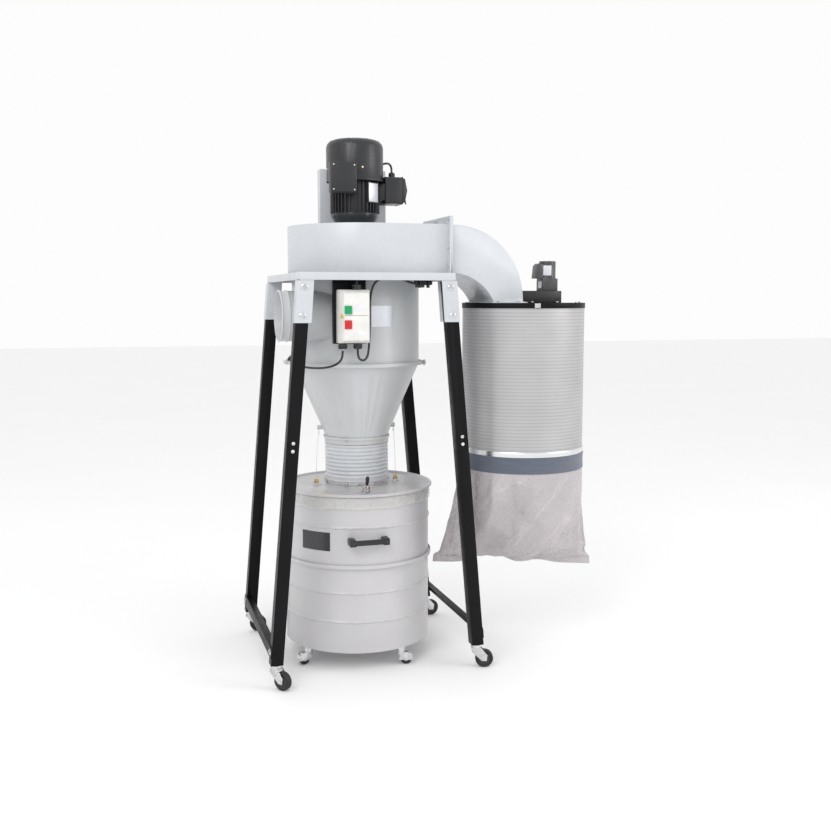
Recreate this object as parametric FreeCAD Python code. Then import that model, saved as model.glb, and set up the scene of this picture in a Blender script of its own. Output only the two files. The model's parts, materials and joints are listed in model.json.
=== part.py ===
import FreeCAD, Part
import math
import os

# Two-stage cyclone dust collector on a rolling stand. Millimetres, +Z up.
# The origin is on the floor under the cyclone axis; +X points to the filter, -Y to the operator.

V = FreeCAD.Vector
UP = V(0, 0, 1)

# ---- overall layout -------------------------------------------------------------------------
PLATE_TOP = 1645.0          # top of the stand, where the blower sits
PLATE_HALF_X = 315.0
PLATE_HALF_Y = 400.0
PLATE_FOLD = 30.0           # depth of the folded edge
SHEET = 2.0                 # wall of ducts, barrel, cone and drum
PLATE_SHEET = 3.0           # wall of the plate, brackets and rails
RUN_FIT = 0.05              # radial clearance of a turning fit
SLIDE_GAP = 0.3             # gap between parts that pass each other
MOTOR_TOP = 2205.0

# ---- stand ----------------------------------------------------------------------------------
LEG = 50.0                  # square tube
LEG_WALL = 2.5
LEG_FOOT_X = 448.0          # outer face at the foot
LEG_FOOT_Z = 100.0
LEG_HEAD_Z = 1608.0
LEG_SPLIT_Z = 930.0         # seam between upper and lower leg
LEG_SLEEVE = (840.0, 1012.0)
LEG_BOLTS_Z = (954.0, 985.0)
BRACKET_Z = 1450.0          # lower end of the leg bracket
BRACKET_BOLTS_Z = (1477.0, 1588.0)
BRACKET_LIP = 12.0          # bracket width inward of the leg
BRACKET_GAP = 0.5           # clearance between bracket and leg
RAIL_Z = (130.0, 173.0)
RAIL_FLANGE = 25.0
PLATE_GROMMET = (-147.0, 306.0)     # cable hole in the plate, x and y
SIDE_GROMMET = (107.7, 1629.5)      # cable hole in the right fold, y and z
GROMMET_R = 8.0

# ---- casters --------------------------------------------------------------------------------
LEG_WHEEL_R = 37.5
LEG_WHEEL_W = 26.0
LEG_CASTER_TRAIL = 34.0
LEG_CASTER_TURN = {"front_left": -50.0, "front_right": -16.0, "back_left": 6.0, "back_right": 5.0}
DRUM_WHEEL_R = 25.0
DRUM_WHEEL_W = 19.0
DRUM_CASTER_TRAIL = 22.0
DRUM_CASTER_RING = 275.0    # radius of the swivel axes from the drum axis
DRUM_CASTERS = {"left": (207.0, 196.0), "front": (298.0, 345.0), "right": (27.0, 10.0),
                "back": (117.0, 60.0)}

# ---- cyclone --------------------------------------------------------------------------------
BARREL_R = 270.0
BARREL_BOTTOM = 1272.0
BARREL_FLANGE = 14.0
CONE_BOTTOM = 967.0
CONE_END_R = 138.0
CONE_SPIGOT = 37.0
VORTEX_R = 150.0
VORTEX_BOTTOM = 1300.0
INLET_R = 101.5             # outside of the inlet pipe
INLET_Z = 1473.0
INLET_END_X = -362.0
INLET_SET_IN = 1.0          # the pipe's front sits this far inside the barrel's tangent
INLET_RUN_OUT_X = -20.0     # the pipe ends inside the barrel here
INLET_MOUTH = 95.0          # depth of the socket that takes the hose
INLET_STOP = 1.0            # height of the stop behind the socket
INLET_BEAD_STEP = 30.0
HOOK_X = 172.0              # outer end of the cone's two wire tabs
HOOK_Z = 995.0
HOOK_RING_R = 6.5
LUG_ANGLES = (163.0, -17.0) # bolted lugs of the barrel clamp
LUG_REACH = (24.0, 12.0)
HOSE_BOTTOM = 746.0
HOSE_WALL = 2.5

# ---- blower ---------------------------------------------------------------------------------
BLOWER_HEIGHT = 195.0
SCROLL_RIGHT = 173.0        # reach of the scroll at its four sides
SCROLL_BACK = 232.0
SCROLL_LEFT = 291.0
SCROLL_FRONT = 350.0
OUTLET_INNER_Y = -50.0
OUTLET_X = 301.0            # face of the outlet flange
FLANGE_T = 5.0
FLANGE_RIM = 31.0
GASKET_T = 3.0
EYE_R = 148.0
IMPELLER_R = 155.0
IMPELLER_BLADES = 10

# ---- motor ----------------------------------------------------------------------------------
FRAME_Z = (1898.0, 2036.0)
FRAME_R = 95.0
FIN_R = 104.0
FINS = 36
COVER_R = 120.0
COVER_WALL = 2.0
SHAFT_R = 14.0
BEARING_R = 31.0
ROTOR_R = 50.0
BOX_GAP = 2.0               # space between the fan cover and what stands beside it
CAPACITOR_BOX = (-140.0, -168.0, 1971.0, -30.0, 2093.0)     # x, front y, z; right x, top z
TERMINAL_BOX = (122.0, -48.0, 1943.0, 196.0, 62.0, 2054.0)
TERMINAL_GLAND = (165.0, 12.0)
MOTOR_PANEL_X = (-125.0, 168.0)
MOTOR_PANEL_TOP = 2097.0

# ---- elbow and filter -----------------------------------------------------------------------
ELBOW_TOP_Z = 1838.0
ELBOW_LOW_Z = 1648.0
ELBOW_R = 300.0
ELBOW_INNER_X = 500.0
FILTER_X = 690.0
FILTER_Y = -200.0
FILTER_R = 260.0
FILTER_TOP = 1526.0
FILTER_SKIRT = 22.0
TOP_RING_ANGLES = (-12.0, 28.0, 68.0, 112.0, 310.0)
FILTER_SHELL_BOTTOM = 916.0
FILTER_NECK_BOTTOM = 828.0
STRAP_Z = (824.0, 892.0)
BAG_BOTTOM = 388.0
PLEATS = 64
BAG_TURN = -19.0            # the flat seam is turned this much from +X
PULLEY_Z = (1538.0, 1550.0)
SWEEPER_R = 6.0
SWEEPER_PULLEY_R = 30.0
MOTOR_PULLEY_R = 25.0
GEARMOTOR_X = 800.0
COVER_BOX = (650.0, -252.0, 845.0, -148.0)
COVER_BOX_TOP = 1577.0
COVER_FEET_X = (660.0, 700.0, 815.0)
DRIVE_ENTRY_Z = 1603.0      # where the cable enters the cleaning motor

# ---- drum and lid ---------------------------------------------------------------------------
DRUM_R = 311.0
DRUM_BOTTOM = 84.0
DRUM_SPLIT = 449.0
DRUM_TOP = 737.0
DRUM_BEADS_LOW = (216.0, 338.0)
DRUM_BEADS_HIGH = (612.0,)
LINER_T = 1.0
LINER_SKIRT_Z = 690.0
LID_R = 326.0
SEAL_T = 2.0
COLLAR_R = 136.0
COLLAR_TOP = 790.0
LEVER_X = -13.0
LEVER_Y = -231.0
LEVER_PIVOT = 766.0
LEVER_LEAN = 18.0
PULLEY_X = 177.0            # the lid's two wire pulleys
PULLEY_Y = 10.0
HANDLE_X = (-108.0, 47.0)
HANDLE_Z = 560.0

# ---- switch ---------------------------------------------------------------------------------
SWITCH_FACE = (-142.0, -42.0, 1381.0, 1563.0)
SWITCH_BODY = (-155.0, -35.0, 1370.0, 1577.0)
SWITCH_FRONT_Y = -400.0
SWITCH_BEVEL = 22.0
SWITCH_BACK_Y = -315.0
BUTTON_X = (-140.0, -112.0)
START_Z = (1484.0, 1515.0)
STOP_Z = (1426.0, 1459.0)
BUTTON_TRAVEL = 4.0
CABLE_D = 9.0
GLAND_Y = -357.0
GLANDS_LOW = (-139.0, -79.0)
GLAND_HIGH = -82.0


# ---- basic shapes ---------------------------------------------------------------------------
def block(x0, y0, z0, x1, y1, z1):
    return Part.makeBox(x1 - x0, y1 - y0, z1 - z0, V(x0, y0, z0))


def rod(radius, start, end):
    """Cylinder between two points."""
    axis = end.sub(start)
    return Part.makeCylinder(radius, axis.Length, start, axis)


def drum(radius, z0, z1, x=0.0, y=0.0):
    return Part.makeCylinder(radius, z1 - z0, V(x, y, z0))


def ring(outer, inner, z0, z1, x=0.0, y=0.0):
    return drum(outer, z0, z1, x, y).cut(drum(inner, z0 - 1.0, z1 + 1.0, x, y))


def polygon(points):
    return Part.Face(Part.makePolygon(points + points[:1]))


def prism_xz(points, y0, y1):
    """Outline of (x, z) points pushed from y0 to y1."""
    face = polygon([V(x, y0, z) for x, z in points])
    return face.extrude(V(0, y1 - y0, 0))


def turned(points, x=0.0, y=0.0):
    """Outline of (radius, z) points turned about a vertical axis."""
    face = polygon([V(x + r, y, z) for r, z in points])
    return face.revolve(V(x, y, 0), UP, 360)


def fuse(shapes):
    whole = shapes[0].multiFuse(shapes[1:]) if len(shapes) > 1 else shapes[0]
    return whole.removeSplitter()


def moved(shape, angle, x, y):
    """Copy turned about +Z and then carried to (x, y)."""
    copy = shape.copy()
    copy.rotate(V(0, 0, 0), UP, angle)
    copy.translate(V(x, y, 0))
    return copy


def polar(radius, angle, z=0.0, x=0.0, y=0.0):
    a = math.radians(angle)
    return V(x + radius * math.cos(a), y + radius * math.sin(a), z)


def hexagon(across, height, base, axis):
    """Hexagonal head standing on base along axis."""
    r = across / math.sqrt(3.0)
    face = polygon([V(r * math.cos(math.radians(60 * i)), r * math.sin(math.radians(60 * i)), 0)
                    for i in range(6)])
    head = face.extrude(V(0, 0, height))
    head.Placement = FreeCAD.Placement(base, FreeCAD.Rotation(UP, axis))
    return head


def bolt(point, axis, across=13.0, head=5.5, shank=4.0, depth=8.0):
    """Hex bolt whose head sits on point and whose shank runs back along -axis."""
    axis = V(axis).normalize()
    body = rod(shank, point.sub(V(axis).multiply(depth)), point)
    return hexagon(across, head, point, axis).fuse(body).removeSplitter()


def drill(shape, places, radius=4.3, reach=14.0):
    """Clearance holes for bolts: places holds (point, axis) pairs."""
    for point, axis in places:
        axis = V(axis).normalize()
        start = point.add(V(axis).multiply(1.0))
        shape = shape.cut(rod(radius, start, point.sub(V(axis).multiply(reach))))
    return shape


def cord(points, diameter):
    """Round cable along straight runs joined by tangent arcs."""
    pts = [V(*p) for p in points]
    edges = []
    here = pts[0]
    radii = []
    for a, b, c in zip(pts, pts[1:], pts[2:]):
        u = b.sub(a)
        w = c.sub(b)
        half = u.getAngle(w) / 2.0
        cut = 0.45 * min(u.Length, w.Length)
        radii.append(cut / math.tan(half))
        p = b.sub(V(u).normalize().multiply(cut))
        q = b.add(V(w).normalize().multiply(cut))
        inward = V(w).normalize().sub(V(u).normalize()).normalize()
        centre = b.add(V(inward).multiply(radii[-1] / math.cos(half)))
        middle = centre.sub(V(inward).multiply(radii[-1]))
        edges.append(Part.LineSegment(here, p).toShape())
        edges.append(Part.Arc(p, middle, q).toShape())
        here = q
    edges.append(Part.LineSegment(here, pts[-1]).toShape())
    path = Part.Wire(edges)
    start = pts[1].sub(pts[0])
    section = Part.Wire([Part.makeCircle(diameter / 2.0, pts[0], start)])
    tube = path.makePipeShell([section], True, False)
    print("cable: length %.0f, tightest radius %.0f, volume ratio %.3f" % (
        path.Length, min(radii), tube.Volume / (path.Length * math.pi * diameter ** 2 / 4.0)))
    return tube


PARTS = {}


def keep(name, shapes):
    PARTS[name] = shapes if isinstance(shapes, list) else [shapes]


# ---- stand ----------------------------------------------------------------------------------
PLATE_UNDER = PLATE_TOP - PLATE_SHEET
FOLD_BOTTOM = PLATE_TOP - PLATE_FOLD
LEG_SLOPE = (LEG_FOOT_X - PLATE_HALF_X) / (PLATE_TOP - LEG_FOOT_Z)
LEG_FRONT = PLATE_HALF_Y - PLATE_SHEET - PLATE_SHEET - BRACKET_GAP
LEG_BACK = LEG_FRONT - LEG
CORNERS = (("front_left", -1, -1), ("front_right", 1, -1), ("back_left", -1, 1), ("back_right", 1, 1))


def leg_outer_x(z):
    return PLATE_HALF_X + LEG_SLOPE * (PLATE_TOP - z)


def leg_bar(sx, sy, z0, z1, inset=0.0):
    """Leaning square bar; inset makes the bar smaller on all four sides."""
    points = [(sx * (leg_outer_x(z) - inset), z) for z in (z0, z1)]
    points += [(sx * (leg_outer_x(z) - LEG + inset), z) for z in (z1, z0)]
    return prism_xz(points, *sorted((sy * (LEG_FRONT - inset), sy * (LEG_BACK + inset))))


def leg_tube(sx, sy, z0, z1, inset, wall):
    hollow = leg_bar(sx, sy, z0 - 5.0, z1 + 5.0, inset + wall)
    return leg_bar(sx, sy, z0, z1, inset).cut(hollow)


def leg_face_bolts(sx, sy, heights, face_y, aside=0.0):
    return [(V(sx * (leg_outer_x(z) - LEG / 2.0 - aside), sy * face_y, z), V(0, sy, 0)) for z in heights]


def rail_bolts(sx):
    places = []
    normal = V(sx, 0, LEG_SLOPE)
    for sy in (-1, 1):
        for step in (-12.0, 12.0):
            z = (RAIL_Z[0] + RAIL_Z[1]) / 2.0
            y = sy * ((LEG_FRONT + LEG_BACK) / 2.0 + step)
            places.append((V(sx * (leg_outer_x(z) + PLATE_SHEET), y, z), normal))
    return places


def top_frame():
    tray = block(-PLATE_HALF_X, -PLATE_HALF_Y, FOLD_BOTTOM, PLATE_HALF_X, PLATE_HALF_Y, PLATE_TOP)
    tray = tray.makeFillet(4.0, [e for e in tray.Edges if abs(e.BoundBox.ZLength - PLATE_FOLD) < 0.1])
    inner_x = PLATE_HALF_X - PLATE_SHEET
    inner_y = PLATE_HALF_Y - PLATE_SHEET
    tray = tray.cut(block(-inner_x, -inner_y, FOLD_BOTTOM - 5.0, inner_x, inner_y, PLATE_UNDER))
    tray = tray.cut(drum(EYE_R, PLATE_UNDER - 5.0, PLATE_TOP + 5.0))
    tray = tray.cut(drum(GROMMET_R, PLATE_UNDER - 5.0, PLATE_TOP + 5.0, *PLATE_GROMMET))
    tray = tray.cut(rod(GROMMET_R, V(inner_x - 8, SIDE_GROMMET[0], SIDE_GROMMET[1]),
                        V(PLATE_HALF_X + 8, SIDE_GROMMET[0], SIDE_GROMMET[1])))
    solids = [tray]
    for name, sx, sy in CORNERS:
        outer_y = sy * (PLATE_HALF_Y - PLATE_SHEET)
        inner_y = sy * (LEG_BACK - BRACKET_GAP - PLATE_SHEET)
        low_in = leg_outer_x(BRACKET_Z) - LEG - BRACKET_LIP
        head_in = leg_outer_x(FOLD_BOTTOM) - LEG - BRACKET_LIP
        low_out = leg_outer_x(BRACKET_Z) + BRACKET_GAP + PLATE_SHEET
        head_out = leg_outer_x(FOLD_BOTTOM - 2.0) + BRACKET_GAP + PLATE_SHEET
        cheek = [(sx * low_in, BRACKET_Z), (sx * low_out, BRACKET_Z), (sx * head_out, FOLD_BOTTOM - 2.0),
                 (sx * (PLATE_HALF_X - PLATE_SHEET), FOLD_BOTTOM - 2.0),
                 (sx * (PLATE_HALF_X - PLATE_SHEET), PLATE_UNDER), (sx * head_in, PLATE_UNDER)]
        whole = prism_xz(cheek, *sorted((outer_y, inner_y)))
        core_low = BRACKET_Z - 9.0
        core_top = PLATE_TOP + 9.0
        core = [(sx * (low_in - 9.0), core_low), (sx * (leg_outer_x(core_low) + BRACKET_GAP), core_low),
                (sx * (leg_outer_x(core_top) + BRACKET_GAP), core_top), (sx * (head_in - 9.0), core_top)]
        gap = sorted((sy * (LEG_FRONT + BRACKET_GAP), sy * (LEG_BACK - BRACKET_GAP)))
        bracket = whole.cut(prism_xz(core, *gap))
        solids.append(drill(bracket, leg_face_bolts(sx, sy, BRACKET_BOLTS_Z, PLATE_HALF_Y - PLATE_SHEET)))
    keep("top_frame", solids)


def legs():
    upper = []
    lower = []
    for name, sx, sy in CORNERS:
        bracket_bolts = leg_face_bolts(sx, sy, BRACKET_BOLTS_Z, LEG_FRONT)
        joint_bolts = leg_face_bolts(sx, sy, LEG_BOLTS_Z, LEG_FRONT)
        tube = leg_tube(sx, sy, LEG_SPLIT_Z, LEG_HEAD_Z, 0.0, LEG_WALL)
        upper.append(drill(tube, bracket_bolts + joint_bolts, reach=8.0))
        tube = leg_tube(sx, sy, LEG_FOOT_Z, LEG_SPLIT_Z, 0.0, LEG_WALL)
        floor = leg_bar(sx, sy, LEG_FOOT_Z, LEG_FOOT_Z + 4.0)
        tube = tube.fuse(floor).removeSplitter()
        tube = tube.cut(drum(6.0, LEG_FOOT_Z - 5.0, LEG_FOOT_Z + 9.0, *caster_axis(sx, sy)))
        holes = [(p.sub(V(sx * PLATE_SHEET, 0, 0)), a) for p, a in rail_bolts(sx) if p.y * sy > 0]
        lower.append(drill(tube, holes, reach=8.0))
        sleeve = leg_tube(sx, sy, LEG_SLEEVE[0], LEG_SLEEVE[1], LEG_WALL + 0.1, LEG_WALL)
        lower.append(drill(sleeve, joint_bolts, reach=12.0))
    keep("legs_upper", upper)
    keep("legs_lower", lower)


def side_rails():
    rails = []
    for sx in (-1, 1):
        low, high = RAIL_Z
        web = [(sx * (leg_outer_x(z)), z) for z in (low, high)]
        web += [(sx * (leg_outer_x(z) + PLATE_SHEET), z) for z in (high, low)]
        web = prism_xz(web, -LEG_FRONT, LEG_FRONT)
        reach = LEG_BACK - 2.0
        top_in = leg_outer_x(high) - RAIL_FLANGE
        flange = [(sx * top_in, high - PLATE_SHEET), (sx * top_in, high),
                  (sx * (leg_outer_x(high) + PLATE_SHEET), high),
                  (sx * (leg_outer_x(high - PLATE_SHEET) + PLATE_SHEET), high - PLATE_SHEET)]
        rail = fuse([web, prism_xz(flange, -reach, reach)])
        rails.append(drill(rail, rail_bolts(sx)))
    keep("side_rails", rails)


# ---- casters --------------------------------------------------------------------------------
def caster_axis(sx, sy):
    return sx * (leg_outer_x(LEG_FOOT_Z) - LEG / 2.0), sy * (LEG_FRONT + LEG_BACK) / 2.0


def wheel(radius, width, trail, bore):
    """Wheel rolling along X behind the swivel axis at the origin."""
    half = width / 2.0
    profile = [(bore, -half), (radius * 0.45, -half), (radius * 0.5, -half + 3.0)]
    profile += [(radius * 0.7, -half + 3.0), (radius * 0.74, -half + 0.5)]
    profile += [(radius - 3.0, -half + 0.5), (radius, -half + 4.0)]
    profile += [(r, -z) for r, z in reversed(profile)]
    face = polygon([V(trail + r, z, radius) for r, z in profile])
    return face.revolve(V(trail, 0, radius), V(0, 1, 0), 360)


def leg_casters():
    stems = []
    raceway = (LEG_FOOT_Z - 16.0, LEG_FOOT_Z - 3.0)
    inner = LEG_WHEEL_W / 2.0 + 2.0
    arm = 3.0
    axle_r = 5.0
    for name, sx, sy in CORNERS:
        x, y = caster_axis(sx, sy)
        turn = LEG_CASTER_TURN[name]
        trail = LEG_CASTER_TRAIL
        side = [(-18.0, raceway[0] + 3.0), (18.0, raceway[0] + 3.0), (trail + 13.0, LEG_WHEEL_R + 16.0),
                (trail + 10.0, LEG_WHEEL_R - 9.0), (trail - 10.0, LEG_WHEEL_R - 9.0), (-20.0, raceway[0] - 14.0)]
        outside = inner + arm
        pieces = [drum(22.0, *raceway), block(-18.0, -outside, raceway[0], 18.0, outside, raceway[0] + 3.0)]
        pieces += [prism_xz(side, *sorted((s * inner, s * (inner + arm)))) for s in (-1, 1)]
        axle_end = outside + 2.0
        pieces.append(rod(axle_r, V(trail, -axle_end, LEG_WHEEL_R), V(trail, axle_end, LEG_WHEEL_R)))
        pieces += [hexagon(13.0, 4.0, V(trail, s * outside, LEG_WHEEL_R), V(0, s, 0)) for s in (-1, 1)]
        fork = fuse(pieces).cut(drum(6.0 + RUN_FIT, raceway[0] + 1.0, raceway[1] + 1.0))
        keep("caster_fork_" + name, moved(fork, turn, x, y))
        tyre = wheel(LEG_WHEEL_R, LEG_WHEEL_W, trail, axle_r + RUN_FIT)
        keep("caster_wheel_" + name, moved(tyre, turn, x, y))
        stem = drum(6.0, raceway[0] + 1.3, LEG_FOOT_Z + 24.0, x, y)
        nut = hexagon(18.0, 3.0 - SLIDE_GAP, V(x, y, raceway[1] + SLIDE_GAP), UP)
        stems.append(fuse([stem, nut]))
    return stems


def drum_casters():
    inner = DRUM_WHEEL_W / 2.0 + 1.5
    skin = 2.0
    axle_r = 4.0
    cap_r = DRUM_WHEEL_R + 4.0
    trail = DRUM_CASTER_TRAIL
    top = DRUM_BOTTOM - 3.0
    for name, (place, turn) in DRUM_CASTERS.items():
        spot = polar(DRUM_CASTER_RING, place)
        hood = rod(cap_r, V(trail, -inner - skin, DRUM_WHEEL_R), V(trail, inner + skin, DRUM_WHEEL_R))
        hood = hood.cut(rod(cap_r - skin, V(trail, -inner, DRUM_WHEEL_R), V(trail, inner, DRUM_WHEEL_R)))
        hood = hood.cut(block(trail - 60.0, -40.0, -10.0, trail + 60.0, 40.0, DRUM_WHEEL_R - 6.0))
        outside = inner + skin
        cheek = [rod(9.0, V(trail, s * inner, DRUM_WHEEL_R), V(trail, s * outside, DRUM_WHEEL_R))
                 for s in (-1, 1)]
        crown = drum(17.0, DRUM_WHEEL_R + 18.0, top)
        crown = crown.cut(rod(cap_r - skin, V(trail, -40.0, DRUM_WHEEL_R), V(trail, 40.0, DRUM_WHEEL_R)))
        axle_end = outside + 1.0
        axle = rod(axle_r, V(trail, -axle_end, DRUM_WHEEL_R), V(trail, axle_end, DRUM_WHEEL_R))
        body = fuse([hood, crown, axle] + cheek).cut(drum(5.0 + RUN_FIT, top - 12.0, top + 1.0))
        keep("drum_caster_hood_" + name, moved(body, turn, spot.x, spot.y))
        tyre = wheel(DRUM_WHEEL_R, DRUM_WHEEL_W, trail, axle_r + RUN_FIT)
        keep("drum_caster_wheel_" + name, moved(tyre, turn, spot.x, spot.y))


# ---- blower ---------------------------------------------------------------------------------
BLOWER_TOP = PLATE_TOP + BLOWER_HEIGHT
MOTOR_PANEL_Y = COVER_R + BOX_GAP
SCROLL_STEP = ((SCROLL_FRONT + SCROLL_BACK) - (SCROLL_LEFT + SCROLL_RIGHT)) / 2.0
SCROLL_R = (SCROLL_LEFT + SCROLL_RIGHT - SCROLL_STEP) / 2.0
SCROLL_CX = SCROLL_RIGHT - SCROLL_R
SCROLL_CY = SCROLL_BACK - SCROLL_R


def scroll(inset, end_x, z0, z1):
    """Spiral casing of three quarter arcs that grow by one step each, with a straight outlet."""
    edges = []
    centre = V(SCROLL_CX, SCROLL_CY, z0)
    radius = SCROLL_R - inset
    shifts = (V(0, 0, 0), V(0, -SCROLL_STEP, 0), V(SCROLL_STEP, 0, 0))
    for quarter, shift in enumerate(shifts):
        centre = centre.add(shift)
        a = [math.radians(90.0 * quarter + 45.0 * k) for k in range(3)]
        r = radius + SCROLL_STEP * quarter
        p = [centre.add(V(r * math.cos(t), r * math.sin(t), 0)) for t in a]
        edges.append(Part.Arc(*p).toShape())
    start = edges[0].Vertexes[0].Point
    end = p[2]
    lip = OUTLET_INNER_Y - inset
    corners = [end, V(end_x, end.y, z0), V(end_x, lip, z0), V(start.x, lip, z0), start]
    edges += [Part.LineSegment(m, n).toShape() for m, n in zip(corners, corners[1:])]
    return Part.Face(Part.Wire(Part.sortEdges(edges)[0])).extrude(V(0, 0, z1 - z0))


def duct_flange(x0, x1, low_z):
    outer = block(x0, -SCROLL_FRONT - FLANGE_RIM, low_z, x1, OUTLET_INNER_Y + FLANGE_RIM,
                  BLOWER_TOP + FLANGE_RIM)
    return outer.cut(block(x0 - 1.0, -SCROLL_FRONT + SHEET, PLATE_TOP + SHEET + 1.0, x1 + 1.0,
                           OUTLET_INNER_Y - SHEET, BLOWER_TOP - SHEET))


def outlet_flange_bolts(x):
    """Bolt places round the outlet flange, seen from the elbow side."""
    top = BLOWER_TOP + FLANGE_RIM / 2.0
    front = -SCROLL_FRONT - FLANGE_RIM / 2.0
    back = OUTLET_INNER_Y + FLANGE_RIM / 2.0
    spots = [(y, top) for y in (front + 2.0, (front + back) / 2.0, back - 2.0)]
    spots += [(y, z) for y in (front, back) for z in (PLATE_TOP + 25.0, PLATE_TOP + BLOWER_HEIGHT / 2.0)]
    return [(V(x, y, z), V(1, 0, 0)) for y, z in spots]


def blower_housing():
    shell = scroll(0.0, OUTLET_X, PLATE_TOP, BLOWER_TOP)
    hollow = scroll(SHEET, OUTLET_X + 5.0, PLATE_TOP + SHEET, BLOWER_TOP - SHEET)
    shell = shell.cut(hollow)
    shell = shell.fuse(duct_flange(OUTLET_X - FLANGE_T, OUTLET_X, PLATE_TOP)).removeSplitter()
    shell = shell.cut(drum(EYE_R, PLATE_TOP - 1.0, PLATE_TOP + SHEET + 1.0))
    shell = shell.cut(drum(SHAFT_R + 6.0, BLOWER_TOP - SHEET - 1.0, BLOWER_TOP + 1.0))
    keep("blower_housing", drill(shell, outlet_flange_bolts(OUTLET_X + FLANGE_T + GASKET_T), reach=20.0))


def impeller():
    top = BLOWER_TOP - 18.0
    back = ring(IMPELLER_R, SHAFT_R, top - 3.0, top)
    hub = ring(SHAFT_R + 16.0, SHAFT_R, top - 62.0, top)
    blade_r = 120.0
    pieces = [back, hub]
    for i in range(IMPELLER_BLADES):
        curve = Part.makeCylinder(blade_r, 112.0, V(0, 0, top - 113.0))
        curve = curve.cut(Part.makeCylinder(blade_r - 3.0, 120.0, V(0, 0, top - 117.0)))
        curve.translate(V(78.0, -blade_r + 24.0, 0))
        zone = ring(IMPELLER_R - 1.0, 72.0, top - 113.0, top - 1.0)
        wedge = block(60.0, 0.0, top - 113.0, 200.0, 60.0, top)
        blade = curve.common(zone).common(wedge)
        pieces.append(moved(blade, 360.0 * i / IMPELLER_BLADES, 0, 0))
    keep("impeller", fuse(pieces))


# ---- motor ----------------------------------------------------------------------------------
def motor_frame():
    low, high = FRAME_Z
    barrel = ring(FRAME_R, FRAME_R - 15.0, low, high)
    fin = block(FRAME_R - 2.0, -1.6, low + 2.0, FIN_R, 1.6, high - 2.0)
    step = 360.0 / FINS
    fins = [moved(fin, step * (i + 0.5), 0, 0) for i in range(FINS) if not 62.0 < step * (i + 0.5) < 118.0]
    feet = []
    for sx in (-1, 1):
        foot = block(sx * 62.0 - 16.0, 60.0, low + 6.0, sx * 62.0 + 16.0, MOTOR_PANEL_Y, high - 6.0)
        feet.append(foot.cut(drum(FRAME_R - 1.0, low, high)))
    body = fuse([barrel] + fins + feet)
    bell = turned([(SHAFT_R + 7.0, BLOWER_TOP), (70.0, BLOWER_TOP), (74.0, BLOWER_TOP + 10.0),
                   (FRAME_R + 4.0, low - 14.0), (FRAME_R + 4.0, low), (FRAME_R - 15.0, low),
                   (FRAME_R - 20.0, low - 8.0), (BEARING_R, low - 8.0), (BEARING_R, low - 30.0),
                   (SHAFT_R + 7.0, low - 30.0)])
    shield = turned([(BEARING_R, high), (FRAME_R, high), (FRAME_R, high + 8.0), (50.0, high + 18.0),
                     (SHAFT_R + 5.0, high + 18.0), (SHAFT_R + 5.0, high + 14.0), (BEARING_R, high + 14.0)])
    lug = block(FRAME_R - 8.0, -7.0, high, COVER_R, 7.0, high + 8.0)
    lug = lug.common(drum(COVER_R - COVER_WALL, high - 1.0, high + 9.0))
    shield = fuse([shield] + [moved(lug, 45.0 + 90.0 * i, 0, 0) for i in range(4)])
    keep("motor_frame", [body, bell, shield])


def motor_inside():
    low, high = FRAME_Z
    core = ring(FRAME_R - 15.0, ROTOR_R + 0.6, low + 18.0, high - 18.0)
    coils = [ring(FRAME_R - 22.0, ROTOR_R + 4.0, low + 3.0, low + 18.0),
             ring(FRAME_R - 22.0, ROTOR_R + 4.0, high - 18.0, high - 3.0)]
    bearings = [ring(BEARING_R, SHAFT_R + RUN_FIT, low - 28.0, low - 10.0),
                ring(BEARING_R, SHAFT_R + RUN_FIT, high + 0.5, high + 13.5)]
    keep("motor_stator", [fuse([core] + coils)] + bearings)
    shaft = drum(SHAFT_R, BLOWER_TOP - 85.0, MOTOR_TOP - 80.0)
    rotor = drum(ROTOR_R, low + 20.0, high - 20.0)
    keep("rotor_shaft", fuse([shaft, rotor]))


def fan_cover():
    low = FRAME_Z[1] - 6.0
    edge = 34.0
    crown = MOTOR_TOP
    out = COVER_R
    outer = [(0, low), (out, low), (out, crown - edge), (out - 4.0, crown - 20.0), (out - 14.0, crown - 9.0),
             (out - 34.0, crown - 2.0), (out - 52.0, crown), (0, crown)]
    w = COVER_WALL
    inner = [(0, low - 5.0), (out - w, low - 5.0), (out - w, crown - edge), (out - 4.0 - w, crown - 21.0),
             (out - 15.0, crown - 10.5 - w / 2.0), (out - 35.0, crown - 2.0 - w), (out - 52.0, crown - w),
             (0, crown - w)]
    cover = turned(outer).cut(turned(inner))
    slot = block(30.0, -3.0, crown - 12.0, out - 28.0, 3.0, crown + 5.0)
    for i in range(16):
        cover = cover.cut(moved(slot, 22.5 * i, 0, 0))
    keep("fan_cover", cover)


def cooling_fan():
    z0, z1 = FRAME_Z[1] + 28.0, FRAME_Z[1] + 66.0
    pieces = [ring(SHAFT_R + 14.0, SHAFT_R, z0, z1), ring(COVER_R - 20.0, SHAFT_R + 12.0, z0, z0 + 3.0)]
    blade = block(SHAFT_R + 12.0, -1.5, z0 + 2.0, COVER_R - 20.0, 1.5, z1)
    pieces += [moved(blade, 45.0 * i, 0, 0) for i in range(8)]
    keep("cooling_fan", fuse(pieces))


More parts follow.
